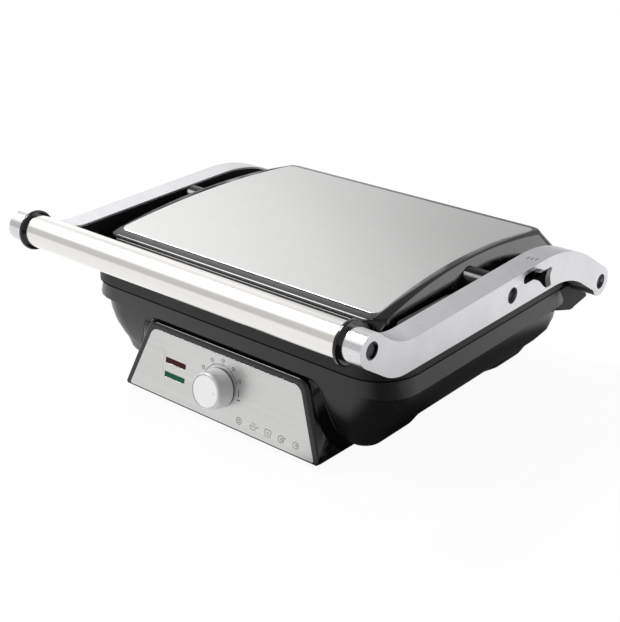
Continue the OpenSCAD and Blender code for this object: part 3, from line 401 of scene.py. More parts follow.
def settle(obj: bpy.types.Object, body: str, key: str, slot: str, *nodes: str) -> bpy.types.Object:
    """Dress a piece, say what it stands for and let it ride on its body.

    Args:
        obj: The piece.
        body: The body that carries it.
        key: Its finish.
        slot: The record's material slot; not used.
        nodes: The CAD nodes that it replaces, if any.

    Returns:
        The piece.
    """
    set_material(obj, key)
    if nodes:
        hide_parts(*nodes)
    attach(obj, body)
    LOG.info("%s rides on %s, replaces %s", obj.name, body, list(nodes))
    return obj


def from_bmesh(bm: bmesh.types.BMesh, name: str) -> bpy.types.Object:
    """Turn a bmesh into a linked object.

    Args:
        bm: The bmesh, which is freed.
        name: The object's name.

    Returns:
        The object.
    """
    mesh = bpy.data.meshes.new(name)
    bm.to_mesh(mesh)
    bm.free()
    obj = bpy.data.objects.new(name, mesh)
    bpy.context.scene.collection.objects.link(obj)
    return obj


def softened(node: str, name: str, width_mm: float, angle: float = 28.0, segments: int = 2,
             shape: Callable[[bmesh.types.BMesh], None] | None = None) -> bpy.types.Object:
    """Copy a CAD node with merged corners, smooth shading and small radii on its edges.

    Args:
        node: The CAD node.
        name: The new piece's name.
        width_mm: Width of the edge radii.
        angle: Edges sharper than this many degrees get a radius.
        segments: Segments of a radius.
        shape: What forms the copy further.

    Returns:
        The piece.
    """
    bm = bmesh.new()
    bm.from_mesh(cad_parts[node].data)
    bmesh.ops.remove_doubles(bm, verts=bm.verts, dist=2e-6)
    bmesh.ops.dissolve_limit(bm, angle_limit=math.radians(0.4), use_dissolve_boundaries=False,
                             verts=bm.verts, edges=bm.edges, delimit={"NORMAL"})
    if shape:
        shape(bm)
    for face in bm.faces:
        face.smooth = True
    obj = from_bmesh(bm, name)
    obj.data.set_sharp_from_angle(angle=math.radians(angle))
    if width_mm > 0:
        mod = obj.modifiers.new("edge_radius", "BEVEL")
        mod.width = width_mm * MM
        mod.segments = segments
        mod.limit_method = "ANGLE"
        mod.angle_limit = math.radians(angle)
        mod.harden_normals = True
        mod.miter_outer = "MITER_ARC"
    return obj


@dataclass
class PlainNodes:
    """Nodes whose CAD shape is right as it is; each only gets its finish."""

    looks: dict[str, str] = field(default_factory=lambda: {
        "lower_heating_element": "sheath", "upper_heating_element": "sheath",
        "lower_heat_shield": "sheet", "upper_heat_shield": "sheet",
        "indicator_lamps": "lamp", "thermostat_body": "ceramic", "thermostat_shaft": "screw",
        "bracket_screws": "screw", "housing_screws": "screw", "plate_screws": "screw",
        "arm_cover_screws": "screw", "handle_plugs": "sheet", "handle_screws": "dark_screw",
        "hinge_screws": "dark_screw", "lid_pivot_screws": "dark_screw", "hinge_bushes": "nylon",
        "lid_screws": "screw", "red_lens": "red", "green_lens": "green",
    })

    def dress(self) -> None:
        """Give each node its finish."""
        for node, key in self.looks.items():
            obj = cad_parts[node]
            obj.data.materials.clear()
            obj.data.materials.append(finish(key))
            LOG.info("%s keeps its CAD shape", node)


def eased(value: float, start: float, end: float) -> float:
    """Give how far a value has come from one limit to another, cut off at 0 and 1.

    Args:
        value: The value.
        start: Where it counts 0.
        end: Where it counts 1.

    Returns:
        The share.
    """
    return min(max((value - start) / (end - start), 0.0), 1.0)


def round_off(bm: bmesh.types.BMesh, edges: list[bmesh.types.BMEdge], radius_mm: float, clamp: bool) -> None:
    """Round edges.

    Args:
        bm: The mesh.
        edges: The edges.
        radius_mm: Their radius.
        clamp: Whether the radius gives way where edges come close.
    """
    bmesh.ops.bevel(bm, geom=edges, offset=radius_mm * MM, segments=5, profile=0.5, affect="EDGES",
                    material=-1, clamp_overlap=clamp)


def swept(name: str, lines: list[tuple[list[tuple[float, float, float]], bool]], radius: float,
          resolution: int) -> bpy.types.Mesh:
    """Sweep a round section along lines.

    Args:
        name: The mesh's name.
        lines: Each line's points and whether it is closed.
        radius: Radius of the section.
        resolution: Steps in a quarter of it.

    Returns:
        The mesh.
    """
    curve = bpy.data.curves.new(name, "CURVE")
    curve.dimensions = "3D"
    curve.bevel_depth = radius
    curve.bevel_resolution = resolution
    curve.use_fill_caps = True
    for points, closed in lines:
        spline = curve.splines.new("POLY")
        spline.points.add(len(points) - 1)
        for point, at in zip(spline.points, points):
            point.co = (*at, 1.0)
        spline.use_cyclic_u = closed
    drawn = bpy.data.objects.new(name + "_curve", curve)
    mesh = bpy.data.meshes.new_from_object(drawn)
    bpy.data.objects.remove(drawn)
    mesh.name = name
    return mesh


def from_mesh(mesh: bpy.types.Mesh) -> bpy.types.Object:
    """Put a mesh in the scene as an object of its name."""
    obj = bpy.data.objects.new(mesh.name, mesh)
    bpy.context.scene.collection.objects.link(obj)
    return obj


@dataclass
class ControlPanel:
    """Place of the leaning control panel on the box's front, in millimetres and degrees."""

    front_y: float = -161.5
    low_z: float = 5.2
    lean: float = 10.5
    half: float = 108.0
    narrowing: float = 22.8 / 58.5
    border: float = 2.5
    box_top: float = 60.5

    def facing(self) -> Vector:
        """Give the direction that the panel faces."""
        return Vector((0.0, -math.cos(math.radians(self.lean)), math.sin(math.radians(self.lean))))

    def place(self) -> Matrix:
        """Give the matrix from the panel's own millimetres to the world."""
        turn = Matrix.Rotation(math.radians(90 - self.lean), 4, "X")
        move = Matrix.Translation((0, self.front_y * MM, self.low_z * MM))
        return move @ turn @ Matrix.Scale(MM, 4)

    def on_border(self, point: Vector) -> bool:
        """Tell whether a point of the box's front lies on the border's outer edge."""
        up = (point.z / MM - self.low_z) / math.cos(math.radians(self.lean))
        return abs(point.x) / MM > self.half - self.narrowing * up + self.border or up > self.box_top


@dataclass
class Forming:
    """What the copied shells get beyond their CAD shape; sizes in millimetres."""

    swell_side: float = 4.4
    swell_rear: float = 3.2
    swell_z: tuple = (27.0, 53.0, 71.0, 84.0)
    flank_x: float = 150.0
    rear_y: float = 120.0
    joint_z: float = 1.3
    arm_r: float = 3.0
    arm_boss_y: float = -180.0
    lid_r: float = 2.4
    lid_front: tuple = (-128.0, 131.0)
    border_r: float = 2.6
    border_foot: float = 8.0
    sharp: float = 40.0
    wing_x: float = 114.0
    box_top: tuple = (97.0, 70.0)
    box_foot: tuple = (113.0, 4.6)
    panel: ControlPanel = field(default_factory=ControlPanel)

    def bowl(self, bm: bmesh.types.BMesh) -> None:
        """Fill out the lower housing's flanks and rear below its band.

        Args:
            bm: The housing's copy.
        """
        z1, z2, z3, z4 = self.swell_z
        for vert in bm.verts:
            x, y, z = vert.co / MM
            low = eased(z, z1, z2)
            full = low * low * (3.0 - 2.0 * low) * eased(z, z4, z3)
            wide = min((abs(x) / self.flank_x) ** 4, 1.15)
            back = min(max(y / self.rear_y, 0.0) ** 4, 1.1)
            vert.co.x += math.copysign(self.swell_side * full * wide, x) * MM
            vert.co.y += self.swell_rear * full * back * MM

    def rim(self, bm: bmesh.types.BMesh) -> None:
        """Cut the rim's lowest strip off as faces of its own.

        Args:
            bm: The rim's copy.
        """
        foot = min(vert.co.z for vert in bm.verts)
        bmesh.ops.bisect_plane(bm, geom=[*bm.verts, *bm.edges, *bm.faces], dist=1e-6,
                               plane_co=(0, 0, foot + self.joint_z * MM), plane_no=(0, 0, 1))

    def arm(self, bm: bmesh.types.BMesh) -> None:
        """Round an arm's inner top edge, which the casting has with a fuller radius.

        Args:
            bm: The arm's copy.
        """
        inner = min(abs(vert.co.x) for vert in bm.verts)
        near, shortest, least_area = 0.02 * MM, 1.0 * MM, 2.0 * MM * MM
        chosen = []
        for edge in bm.edges:
            if len(edge.link_faces) != 2 or any(abs(abs(v.co.x) - inner) > near for v in edge.verts):
                continue
            tops = [face for face in edge.link_faces if face.normal.z > 0.55 and abs(face.normal.x) < 0.2]
            behind_boss = (edge.verts[0].co.y + edge.verts[1].co.y) / 2 > self.arm_boss_y * MM
            wide = max((face.calc_area() for face in tops), default=0.0) > least_area
            if wide and behind_boss and edge.calc_length() > shortest:
                chosen.append(edge)
        round_off(bm, chosen, self.arm_r, True)

    def lid(self, bm: bmesh.types.BMesh) -> None:
        """Give the lid's front edge and front corners their full radius.

        Args:
            bm: The lid's copy.
        """
        y, z = self.lid_front
        chosen = []
        for edge in bm.edges:
            mid = (edge.verts[0].co + edge.verts[1].co) / 2
            if len(edge.link_faces) != 2 or mid.y > y * MM or mid.z < z * MM:
                continue
            ups = sorted(face.normal.z for face in edge.link_faces)
            sharp = edge.calc_face_angle_signed(0.0) > math.radians(self.sharp)
            if sharp and ups[1] > 0.85 and -0.1 < ups[0] < 0.6:
                chosen.append(edge)
        round_off(bm, chosen, self.lid_r, False)

    def box(self, bm: bmesh.types.BMesh) -> None:
        """Draw the control box's sides in to a plain slope, and round the border round its panel.

        Args:
            bm: The box's copy.
        """
        (top_x, top_z), (foot_x, foot_z) = self.box_top, self.box_foot
        for vert in bm.verts:
            x, z = vert.co.x / MM, vert.co.z / MM
            if abs(x) > self.wing_x:
                side = top_x + (foot_x - top_x) * (top_z - z) / (top_z - foot_z)
                vert.co.x = math.copysign(side, x) * MM
        chosen = []
        for edge in bm.edges:
            mid = (edge.verts[0].co + edge.verts[1].co) / 2
            if len(edge.link_faces) != 2 or mid.z < self.border_foot * MM:
                continue
            fronts = [face for face in edge.link_faces if face.normal.dot(self.panel.facing()) > 0.999]
            sharp = edge.calc_face_angle_signed(0.0) > math.radians(self.sharp)
            if self.panel.on_border(mid) and len(fronts) == 1 and sharp:
                chosen.append(edge)
        round_off(bm, chosen, self.border_r, False)

    def of(self, node: str) -> Callable[[bmesh.types.BMesh], None] | None:
        """Give what forms a node's copy, if anything does."""
        return {"base_housing": self.bowl, "base_rim": self.rim, "control_box": self.box,
                "lid_cover": self.lid, "left_arm": self.arm, "right_arm": self.arm}.get(node)


@dataclass
class SoftenedShells:
    """Visible mouldings and castings, each a copy of its node with real edge radii."""

    forming: Forming = field(default_factory=Forming)
    # node, body, finish, slot, edge radius in millimetres, least angle of an edge in degrees
    pieces: tuple = (
        ("base_housing", "base", "satin_black", "housing_plastic", 0.6, 40.0),
        ("base_rim", "base", "grained_black", "rim_plastic", 0.8, 28.0),
        ("lower_grill_plate", "base", "coated_cast", "coated_cast", 0.5, 28.0),
        ("control_box", "base", "gloss_black", "gloss_black", 0.9, 28.0),
        ("fascia_plate", "base", "fascia_steel", "fascia_steel", 0.22, 28.0),
        ("left_hinge_bracket", "base", "matt_black", "bracket_plastic", 0.6, 28.0),
        ("right_hinge_bracket", "base", "matt_black", "bracket_plastic", 0.6, 28.0),
        ("rubber_feet", "base", "rubber", "rubber", 0.4, 28.0),
        ("cord_gland", "base", "matt_black", "bracket_plastic", 0.4, 28.0),
        ("left_arm", "arms", "cast", "cast_aluminium", 1.2, 30.0),
        ("right_arm", "arms", "cast", "cast_aluminium", 1.2, 30.0),
        ("left_arm_cover", "arms", "matt_black", "bracket_plastic", 0.3, 28.0),
        ("right_arm_cover", "arms", "matt_black", "bracket_plastic", 0.3, 28.0),
        ("handle_tube", "arms", "tube_steel", "handle_steel", 0.2, 28.0),
        ("handle_rings", "arms", "gloss_black", "gloss_black", 0.5, 28.0),
        ("lock_lever", "lever", "gloss_black", "lever_plastic", 0.6, 28.0),
        ("lid_cover", "lid", "gloss_black", "gloss_black", 0.9, 28.0),
        ("lid_panel", "lid", "panel_steel", "panel_steel", 0.45, 28.0),
        ("lid_frame", "lid", "matt_black", "rim_plastic", 0.6, 28.0),
        ("left_lid_lug", "lid", "lug_black", "gloss_black", 0.9, 28.0),
        ("right_lid_lug", "lid", "lug_black", "gloss_black", 0.9, 28.0),
        ("upper_grill_plate", "lid", "coated_cast", "coated_cast", 0.5, 28.0),
        ("control_knob", "knob", "knob", "knob_silver", 0.5, 28.0),
        ("knob_cap", "knob", "cap", "knob_cap_silver", 0.3, 28.0),
    )

    def shade_joint(self, obj: bpy.types.Object) -> None:
        """Blacken the narrow joint at the rim's foot as painted shade, where no light reaches.

        Args:
            obj: The rim, with its lowest strip cut as faces of its own.
        """
        obj.data.materials.append(finish("joint"))
        foot = min(vert.co.z for vert in obj.data.vertices)
        for poly in obj.data.polygons:
            if poly.center.z < foot + self.forming.joint_z * MM:
                poly.material_index = 1

    def build(self) -> None:
        """Make every piece."""
        for node, body, key, slot, width, angle in self.pieces:
            obj = softened(node, node + "_fine", width, angle, shape=self.forming.of(node))
            settle(obj, body, key, slot, node)
            if node == "base_rim":
                self.shade_joint(obj)


@dataclass
class BoxFlanks:
    """The control box's flared side walls, from the panel's border to a curved ridge on the bowl."""

    border: tuple = ((90.0, -146.2, 65.5), (96.6, -150.4, 46.0), (102.2, -154.1, 26.0), (107.6, -157.6, 6.0))
    ridge: tuple = ((90.1, -141.8, 69.7), (100.5, -144.6, 63.7), (107.4, -143.4, 46.0),
                    (113.8, -139.2, 28.0), (112.6, -118.5, 4.6))
    hollow: tuple = (-0.5, 0.0, 0.0)
    turned_in: tuple = (-4.0, 5.0, 0.0)
    steps: int = 12
    wall: float = 1.2
    edge_r: float = 0.5

    @staticmethod
    def curve(knots: tuple, t: float) -> Vector:
        """Give a point on a smooth curve through its knots.

        Args:
            knots: The knots.
            t: Place on the curve, 0 to 1.

        Returns:
            The point.
        """
        pts = [Vector(knot) for knot in knots]
        spans = len(pts) - 1
        pts = [2 * pts[0] - pts[1], *pts, 2 * pts[-1] - pts[-2]]
        k = min(int(t * spans), spans - 1)
        f = t * spans - k
        a, b, c, d = pts[k:k + 4]
        return 0.5 * (2 * b + (c - a) * f + (2 * a - 5 * b + 4 * c - d) * f * f
                      + (3 * b - a - 3 * c + d) * f * f * f)

    def wall_point(self, column: int, t: float) -> Vector:
        """Give a point of the right wall.

        Args:
            column: 0 at the border, 1 in the hollow, 2 on the ridge, 3 turned in behind it.
            t: Place from top to foot, 0 to 1.

        Returns:
            The point.
        """
        near, crest = self.curve(self.border, t), self.curve(self.ridge, t)
        if column == 1:
            return near.lerp(crest, 0.5) + Vector(self.hollow)
        return (near, None, crest, crest + Vector(self.turned_in))[column]

    def walls(self) -> None:
        """Form a grid to the right wall, and mirror it for the left one."""
        bm = bmesh.new()
        bmesh.ops.create_grid(bm, x_segments=3, y_segments=self.steps, size=0.5)
        for vert in bm.verts:
            vert.co = self.wall_point(round((vert.co.x + 0.5) * 3), vert.co.y + 0.5) * MM
        bmesh.ops.mirror(bm, geom=[*bm.verts, *bm.edges, *bm.faces], axis="X", merge_dist=0.0)
        # the grid faces inwards on the right and, mirrored, outwards on the left
        bmesh.ops.reverse_faces(bm, faces=[face for face in bm.faces if face.calc_center_median().x > 0])
        for face in bm.faces:
            face.smooth = True
        obj = from_bmesh(bm, "box_flanks")
        obj.data.set_sharp_from_angle(angle=math.radians(50))
        solid = obj.modifiers.new("wall", "SOLIDIFY")
        solid.thickness = self.wall * MM
        solid.offset = -1.0
        edge = obj.modifiers.new("edge_radius", "BEVEL")
        edge.width = self.edge_r * MM
        edge.segments = 3
        edge.limit_method = "ANGLE"
        edge.angle_limit = math.radians(45)
        settle(obj, "base", "lug_black", "gloss_black")

    def edges(self) -> None:
        """Make the fine rounded edge that the walls end in."""
        count = 2 * self.steps
        right = [self.curve(self.ridge, k / count) * MM for k in range(count + 1)]
        lines = [([(side * at.x, at.y, at.z) for at in right], False) for side in (1, -1)]
        obj = from_mesh(swept("flank_edges", lines, self.edge_r * MM, 2))
        # its grey finish is a painted highlight along the ridge
        settle(obj, "base", "flank_edge", "gloss_black")

    def build(self) -> None:
        """Make the walls and their edges."""
        self.walls()
        self.edges()


@dataclass
class LidBead:
    """The bead that runs under the lid's front edge."""

    half_length: float = 136.5
    axis_y: float = -141.15
    axis_z: float = 130.6
    out: float = 0.75
    high: float = 0.8
    lap: float = 15.0

    def build(self) -> None:
        """Spin a point to the bead's section, fill it and draw it out along the edge."""
        bm = bmesh.new()
        first = bm.verts.new(Matrix.Rotation(math.radians(self.lap), 3, "X") @ Vector((0.0, 0.0, 1.0)))
        bmesh.ops.spin(bm, geom=[first], cent=(0, 0, 0), axis=(1, 0, 0),
                       angle=math.radians(180 - 2 * self.lap), steps=8)
        section = bm.faces.new(bm.verts)
        grown = bmesh.ops.extrude_face_region(bm, geom=[section])["geom"]
        bmesh.ops.translate(bm, vec=(1, 0, 0), verts=[v for v in grown if isinstance(v, bmesh.types.BMVert)])
        bmesh.ops.translate(bm, vec=(-0.5, 0, 0), verts=bm.verts)
        size = Matrix.Diagonal((2 * self.half_length, self.out, self.high, 1.0))
        move = Matrix.Translation((0, self.axis_y, self.axis_z))
        bmesh.ops.transform(bm, matrix=Matrix.Scale(MM, 4) @ move @ size, verts=bm.verts)
        bmesh.ops.recalc_face_normals(bm, faces=bm.faces)
        for face in bm.faces:
            face.smooth = len(face.verts) == 4
        obj = from_bmesh(bm, "lid_front_bead")
        obj.data.set_sharp_from_angle(angle=math.radians(35))
        settle(obj, "lid", "gloss_black", "gloss_black")


@dataclass
class ArmMarks:
    """Three plain strokes on top of the right arm, as a mould's cavity mark."""

    across: tuple = (179.5, 183.0, 186.5)
    along: float = 28.0
    stagger: float = 0.8
    half_length: float = 2.6
    width: float = 0.8
    sunk: float = 0.05
    proud: float = 0.06
    above: float = 300.0

    def build(self) -> None:
        """Lay each stroke on the arm's curved top."""
        bm = bmesh.new()
        depth = self.sunk + self.proud
        for k, x in enumerate(self.across):
            y = self.along + self.stagger * k
            ends = [Vector((x, at, self.top_of_arm(at)))
                    for at in (y - self.half_length, y + self.half_length)]
            run = ends[1] - ends[0]
            move = Matrix.Translation((ends[0] + ends[1]) / 2 + Vector((0, 0, self.proud - depth / 2)))
            turn = Matrix.Rotation(math.atan2(run.z, run.y), 4, "X")
            size = Matrix.Diagonal((self.width, run.length, depth, 1.0))
            bmesh.ops.create_cube(bm, size=1.0, matrix=Matrix.Scale(MM, 4) @ move @ turn @ size)
        settle(from_bmesh(bm, "arm_marks"), "arms", "dark_screw", "cast_aluminium")

    def top_of_arm(self, y: float) -> float:
        """Give the height of the right arm's top face.

        Args:
            y: Place along the arm in millimetres.

        Returns:
            The height in millimetres.
        """
        bm = bmesh.new()
        bm.from_mesh(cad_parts["right_arm"].data)
        start = Vector((self.across[1], y, self.above)) * MM
        where = BVHTree.FromBMesh(bm).ray_cast(start, Vector((0, 0, -1)))[0]
        bm.free()
        return where.z / MM


@dataclass
class FasciaPrint:
    """Screen-printed marks of the control panel, with plain signs of its own."""

    panel: ControlPanel = field(default_factory=ControlPanel)
    knob_up: float = 30.0
    line_mm: float = 0.5
    dial_r: float = 20.2
    sign_r: float = 24.2

    def strokes(self, name: str, paths: list[tuple[list[tuple[float, float]], bool]],
                width: float) -> bpy.types.Object:
        """Draw flat ink lines.

        Args:
            name: The piece's name.
            paths: Each line's points on the panel and whether it is closed.
            width: Width of the lines in millimetres.

        Returns:
            The piece, in place.
        """
        lines = [([(x, up, 0.0) for x, up in points], closed) for points, closed in paths]
        mesh = swept(name, lines, width / 2, 1)
        # pressed flat, the ink stands a few hundredths of a millimetre proud
        mesh.transform(Matrix.Diagonal((1.0, 1.0, 0.16, 1.0)))
        mesh.transform(Matrix.Translation((0, 0, 0.01)))
        mesh.transform(self.panel.place())
        return from_mesh(mesh)

    @staticmethod
    def arc(x: float, s: float, r: float, start: float, end: float,
            count: int = 24) -> list[tuple[float, float]]:
        """Give points on an arc; angles are in degrees clockwise from the panel's up direction.

        Args:
            x: Centre across the panel.
            s: Centre up the panel.
            r: Radius.
            start: First angle.
            end: Last angle.
            count: Number of steps.

        Returns:
            The points.
        """
        angles = [math.radians(start + (end - start) * k / count) for k in range(count + 1)]
        return [(x + r * math.sin(a), s + r * math.cos(a)) for a in angles]

    def dial(self) -> None:
        """Make the scale round the knob."""
        up = self.knob_up
        lines = [(self.arc(0, up, self.dial_r, -72, 66, 40), False)]
        for angle in (-60, -29, 2, 32, 61):
            a = math.radians(angle)
            x, s = math.sin(a), math.cos(a)
            lines.append(([(self.dial_r * x, up + self.dial_r * s),
                           ((self.dial_r + 1.6) * x, up + (self.dial_r + 1.6) * s)], False))
            cx, cs = self.sign_r * x, up + self.sign_r * s
            lines.append((self.arc(cx, cs, 1.5, 0, 345, 16), True))
            lines.append(([(cx - 0.7, cs), (cx + 0.7, cs)], False))
        settle(self.strokes("dial_scale", lines, self.line_mm), "base", "ink", "rim_plastic")
        bar = [(self.arc(0, up, 21.6, 78, 95, 6), False), ([(20.3, up - 4.4), (23.6, up - 4.4)], False)]
        settle(self.strokes("dial_off_bar", bar, 1.0), "base", "dark_ink", "rim_plastic")

    def signs(self) -> None:
        """Make the row of five plain signs under the knob's right side."""
        row = []
        s = 8.3
        # two rings, for a dish
        row += [(self.arc(25, s, 2.9, 0, 350, 20), True), (self.arc(25, s, 1.3, 0, 340, 12), True)]
        # a shallow pan with its handle, and steam
        row += [([(37.5, s + 0.6), (38.6, s - 2.2), (43.4, s - 2.2), (44.5, s + 0.6),
                  (37.5, s + 0.6)], False),
                ([(44.5, s + 0.4), (47.2, s + 1.6)], False),
                ([(39.6, s + 1.8), (40.3, s + 2.8), (39.8, s + 3.8)], False),
                ([(42.0, s + 1.8), (42.7, s + 2.8), (42.2, s + 3.8)], False)]
        # a slice of bread
        row += [([(54.6, s - 2.8), (60.4, s - 2.8), (60.4, s + 0.8), (61.3, s + 2.0), (60.2, s + 3.2),
                  (54.8, s + 3.2), (53.7, s + 2.0), (54.6, s + 0.8)], True),
                ([(56.2, s - 1.0), (58.8, s - 1.0)], False), ([(56.2, s + 0.8), (58.8, s + 0.8)], False)]
        # an egg with its yolk
        row += [(self.arc(72, s, 3.1, 0, 350, 20), True), (self.arc(72.7, s - 0.3, 1.3, 0, 340, 12), True),
                ([(75.6, s + 1.4), (76.9, s + 2.8)], False)]
        # a rounded cut of meat
        row += [([(85.2, s - 2.0), (88.6, s - 2.9), (91.0, s - 0.6), (90.2, s + 2.2), (87.0, s + 3.1),
                  (84.8, s + 1.2)], True), (self.arc(88.6, s + 0.4, 0.9, 0, 320, 10), True)]
        settle(self.strokes("function_signs", row, self.line_mm), "base", "ink", "rim_plastic")

    def build(self) -> None:
        """Make the whole print."""
        self.dial()
        self.signs()


@dataclass(frozen=True)
class Glow:
    """A soft-edged patch of light in the room: its direction, the cosines of its edge, its brightness."""

    toward: tuple
    low: float
    high: float
    gain: float


@dataclass
class Studio:
    """White floor, soft light and the camera; lengths of the camera in millimetres, of the rest in metres."""

    eye: tuple = (645.83, -803.18, 518.44)
    aim: tuple = (11.21, -51.53, 72.72)
    roll: float = 0.07
    lens: float = 70.694
    ambient: float = 0.10
    floor_light: float = 1.15
    patches: tuple = (
        Glow((-0.985, -0.17, 0.0), 0.30, 0.54, 0.66),       # the bright left side of the room
        Glow((0.1, 0.95, 0.3), 0.30, 0.85, 0.44),           # a dimmer wall behind
        Glow((-0.59, -0.25, 0.77), 0.86, 0.95, 0.80),       # soft box over the left, along the handle
        Glow((-0.59, -0.10, 0.80), 0.970, 0.985, 16.0),     # its bright middle, the streak on the tube
        Glow((-0.78, 0.42, 0.45), 0.90, 0.98, 0.25),        # lift of the lid's front and middle
        Glow((-0.95, 0.30, 0.05), 0.86, 0.97, 0.85),        # low light on the panel's front left corner
        Glow((0.68, 0.70, 0.22), 0.90, 0.97, 2.2),          # strip that the lid's right border shows
        Glow((0.75, -0.62, 0.22), 0.20, 0.80, 0.55),        # fill, seen from behind and from the left
    )
    # the floor that the object sees: dark under it, bright further out, dim toward its front right
    shadow_centre: tuple = (0.13, 0.04, 0.0)
    shadow_reach: tuple = (0.12, 0.205)
    shadow_light: float = 0.05
    dim: Glow = Glow((0.80, -0.60, 0.0), 0.84, 0.95, -0.94)
    dull_share: float = 0.4
    paper_seen: float = 0.94
    floor_half: float = 4.0
    floor_drop: float = 0.0002

    def camera(self) -> None:
        """Set the camera at the photograph's angle."""
        data = bpy.data.cameras.new("camera")
        data.lens = self.lens
        data.sensor_width = 36.0
        data.clip_start = 0.02
        cam = bpy.data.objects.new("camera", data)
        bpy.context.scene.collection.objects.link(cam)
        eye, aim = Vector(self.eye) * MM, Vector(self.aim) * MM
        turn = (aim - eye).to_track_quat("-Z", "Y").to_matrix().to_4x4()
        cam.matrix_world = Matrix.Translation(eye) @ turn @ Matrix.Rotation(math.radians(self.roll), 4, "Z")
        bpy.context.scene.camera = cam

    def lamp(self, name: str, at: tuple, aim: tuple, size: tuple, watts: float) -> None:
        """Add a soft box.

        Args:
            name: The lamp's name.
            at: Its place in metres.
            aim: The point it faces.
            size: Its width and height.
            watts: Its power.
        """
        data = bpy.data.lights.new(name, "AREA")
        data.shape = "RECTANGLE"
        data.size, data.size_y = size
        data.energy = watts
        lamp = bpy.data.objects.new(name, data)
        turn = (Vector(aim) - Vector(at)).to_track_quat("-Z", "Y").to_matrix().to_4x4()
        lamp.matrix_world = Matrix.Translation(at) @ turn
        bpy.context.scene.collection.objects.link(lamp)

    @staticmethod
    def lobe(tree: bpy.types.NodeTree, vector: bpy.types.NodeSocket, glow: Glow,
             before: bpy.types.NodeSocket | None = None) -> bpy.types.NodeSocket:
        """Add a patch of light to a sum.

        Args:
            tree: The tree.
            vector: The direction that is looked in.
            glow: The patch.
            before: The sum so far.

        Returns:
            The new sum.
        """
        aim = tuple(Vector(glow.toward).normalized())
        near = add(tree, "VectorMath", {"operation": "DOT_PRODUCT", 1: aim}, {0: vector})
        soft = add(tree, "MapRange", {"interpolation_type": "SMOOTHSTEP", "From Min": glow.low,
                                      "From Max": glow.high, "To Min": 0.0, "To Max": glow.gain},
                   {"Value": near.outputs["Value"]})
        if before is None:
            return soft.outputs["Result"]
        summed = add(tree, "Math", {"operation": "ADD"}, {0: before, 1: soft.outputs["Result"]})
        return summed.outputs["Value"]

    def world(self) -> None:
        """Light the room: white where the camera looks past the object, the patches elsewhere."""
        world = bpy.data.worlds.new("studio")
        bpy.context.scene.world = world
        world.use_nodes = True
        tree = world.node_tree
        tree.nodes.clear()
        out = add(tree, "OutputWorld")
        where = add(tree, "TexCoord").outputs["Generated"]
        total = self.lobe(tree, where, Glow((0, 0, 1), -1.0, -0.9, self.ambient))
        for patch in self.patches:
            total = self.lobe(tree, where, patch, total)
        room = add(tree, "Background", {"Color": (1, 1, 1, 1)}, {"Strength": total})
        white = add(tree, "Background", {"Color": (1, 1, 1, 1), "Strength": 1.0})
        path = add(tree, "LightPath")
        mixed = add(tree, "MixShader", {}, {0: path.outputs["Is Camera Ray"], 1: room.outputs["Background"],
                                            2: white.outputs["Background"]})
        tree.links.new(mixed.outputs["Shader"], out.inputs["Surface"])

    def floor_level(self, tree: bpy.types.NodeTree, dull: bpy.types.NodeSocket) -> bpy.types.NodeSocket:
        """Add the brightness of the floor that the object sees.

        Args:
            tree: The floor's tree.
            dull: 1 for a dull surface, which sees the floor dimmer.

        Returns:
            The brightness.
        """
        place = add(tree, "TexCoord").outputs["Object"]
        flat = add(tree, "VectorMath", {"operation": "MULTIPLY", 1: (1.0, 1.0, 0.0)},
                   {0: place}).outputs["Vector"]
        far = add(tree, "VectorMath", {"operation": "DISTANCE", 1: self.shadow_centre}, {0: flat})
        near_end, far_end = self.shadow_reach
        reach = add(tree, "MapRange", {"interpolation_type": "SMOOTHSTEP", "From Min": near_end,
                                       "From Max": far_end, "To Min": self.shadow_light,
                                       "To Max": self.floor_light}, {"Value": far.outputs["Value"]})
        way = add(tree, "VectorMath", {"operation": "NORMALIZE"}, {0: flat})
        keep = add(tree, "Math", {"operation": "ADD", 1: 1.0},
                   {0: self.lobe(tree, way.outputs["Vector"], self.dim)})
        level = add(tree, "Math", {"operation": "MULTIPLY"},
                    {0: reach.outputs["Result"], 1: keep.outputs["Value"]})
        share = add(tree, "Math", {"operation": "MULTIPLY_ADD", 1: self.dull_share - 1.0, 2: 1.0}, {0: dull})
        return add(tree, "Math", {"operation": "MULTIPLY"},
                   {0: level.outputs["Value"], 1: share.outputs["Value"]}).outputs["Value"]

    def floor(self) -> None:
        """Lay a white floor that keeps a faint shadow; the object sees it darker near itself."""
        bm = bmesh.new()
        bmesh.ops.create_grid(bm, x_segments=1, y_segments=1, size=self.floor_half)
        bmesh.ops.translate(bm, vec=(0, 0, -self.floor_drop), verts=bm.verts)
        obj = from_bmesh(bm, "floor")
        mat = bpy.data.materials.new("white_paper")
        mat.use_nodes = True
        tree = mat.node_tree
        tree.nodes.clear()
        out = add(tree, "OutputMaterial")
        path = add(tree, "LightPath")
        paper = add(tree, "BsdfDiffuse", {"Color": (0.88, 0.88, 0.88, 1)})
        glow = add(tree, "Emission", {"Color": (1, 1, 1, 1), "Strength": 1.0})
        seen = add(tree, "MixShader", {0: self.paper_seen},
                   {1: paper.outputs["BSDF"], 2: glow.outputs["Emission"]})
        bounce = add(tree, "Emission", {"Color": (1, 1, 1, 1)},
                     {"Strength": self.floor_level(tree, path.outputs["Is Diffuse Ray"])})
        mixed = add(tree, "MixShader", {}, {0: path.outputs["Is Camera Ray"], 1: bounce.outputs["Emission"],
                                            2: seen.outputs["Shader"]})
        tree.links.new(mixed.outputs["Shader"], out.inputs["Surface"])
        obj.data.materials.append(mat)

    def build(self) -> None:
        """Set up the whole studio."""
        self.camera()
        self.world()
        self.floor()
        self.lamp("front_left_box", at=(-1.1, -0.5, 1.4), aim=(0, 0, 0.1), size=(0.7, 0.7), watts=6.0)


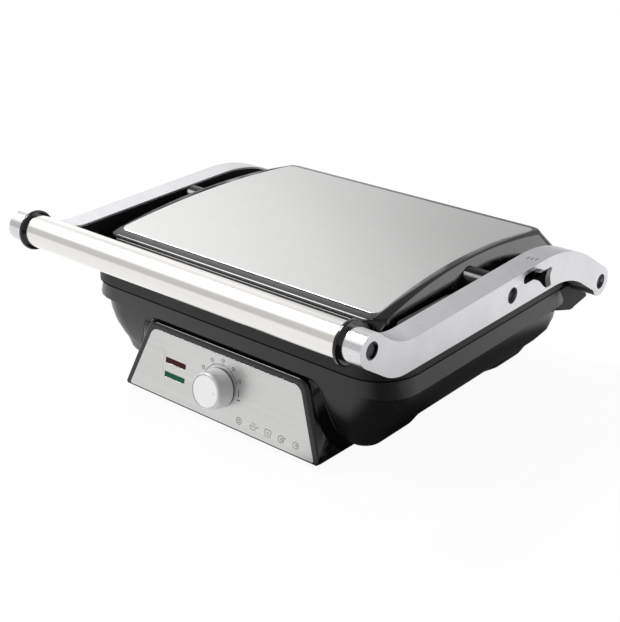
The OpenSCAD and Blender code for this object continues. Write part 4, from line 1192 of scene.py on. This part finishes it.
def main() -> None:
    """Build the studio, the finishes and every piece."""
    logging.basicConfig(level=logging.INFO, format="%(name)s: %(message)s")
    bpy.context.scene.view_settings.view_transform = "Standard"
    Studio().build()
    PlainNodes().dress()
    SoftenedShells().build()
    FasciaPrint().build()
    BoxFlanks().build()
    LidBead().build()
    ArmMarks().build()


if __name__ == "__main__":
    main()
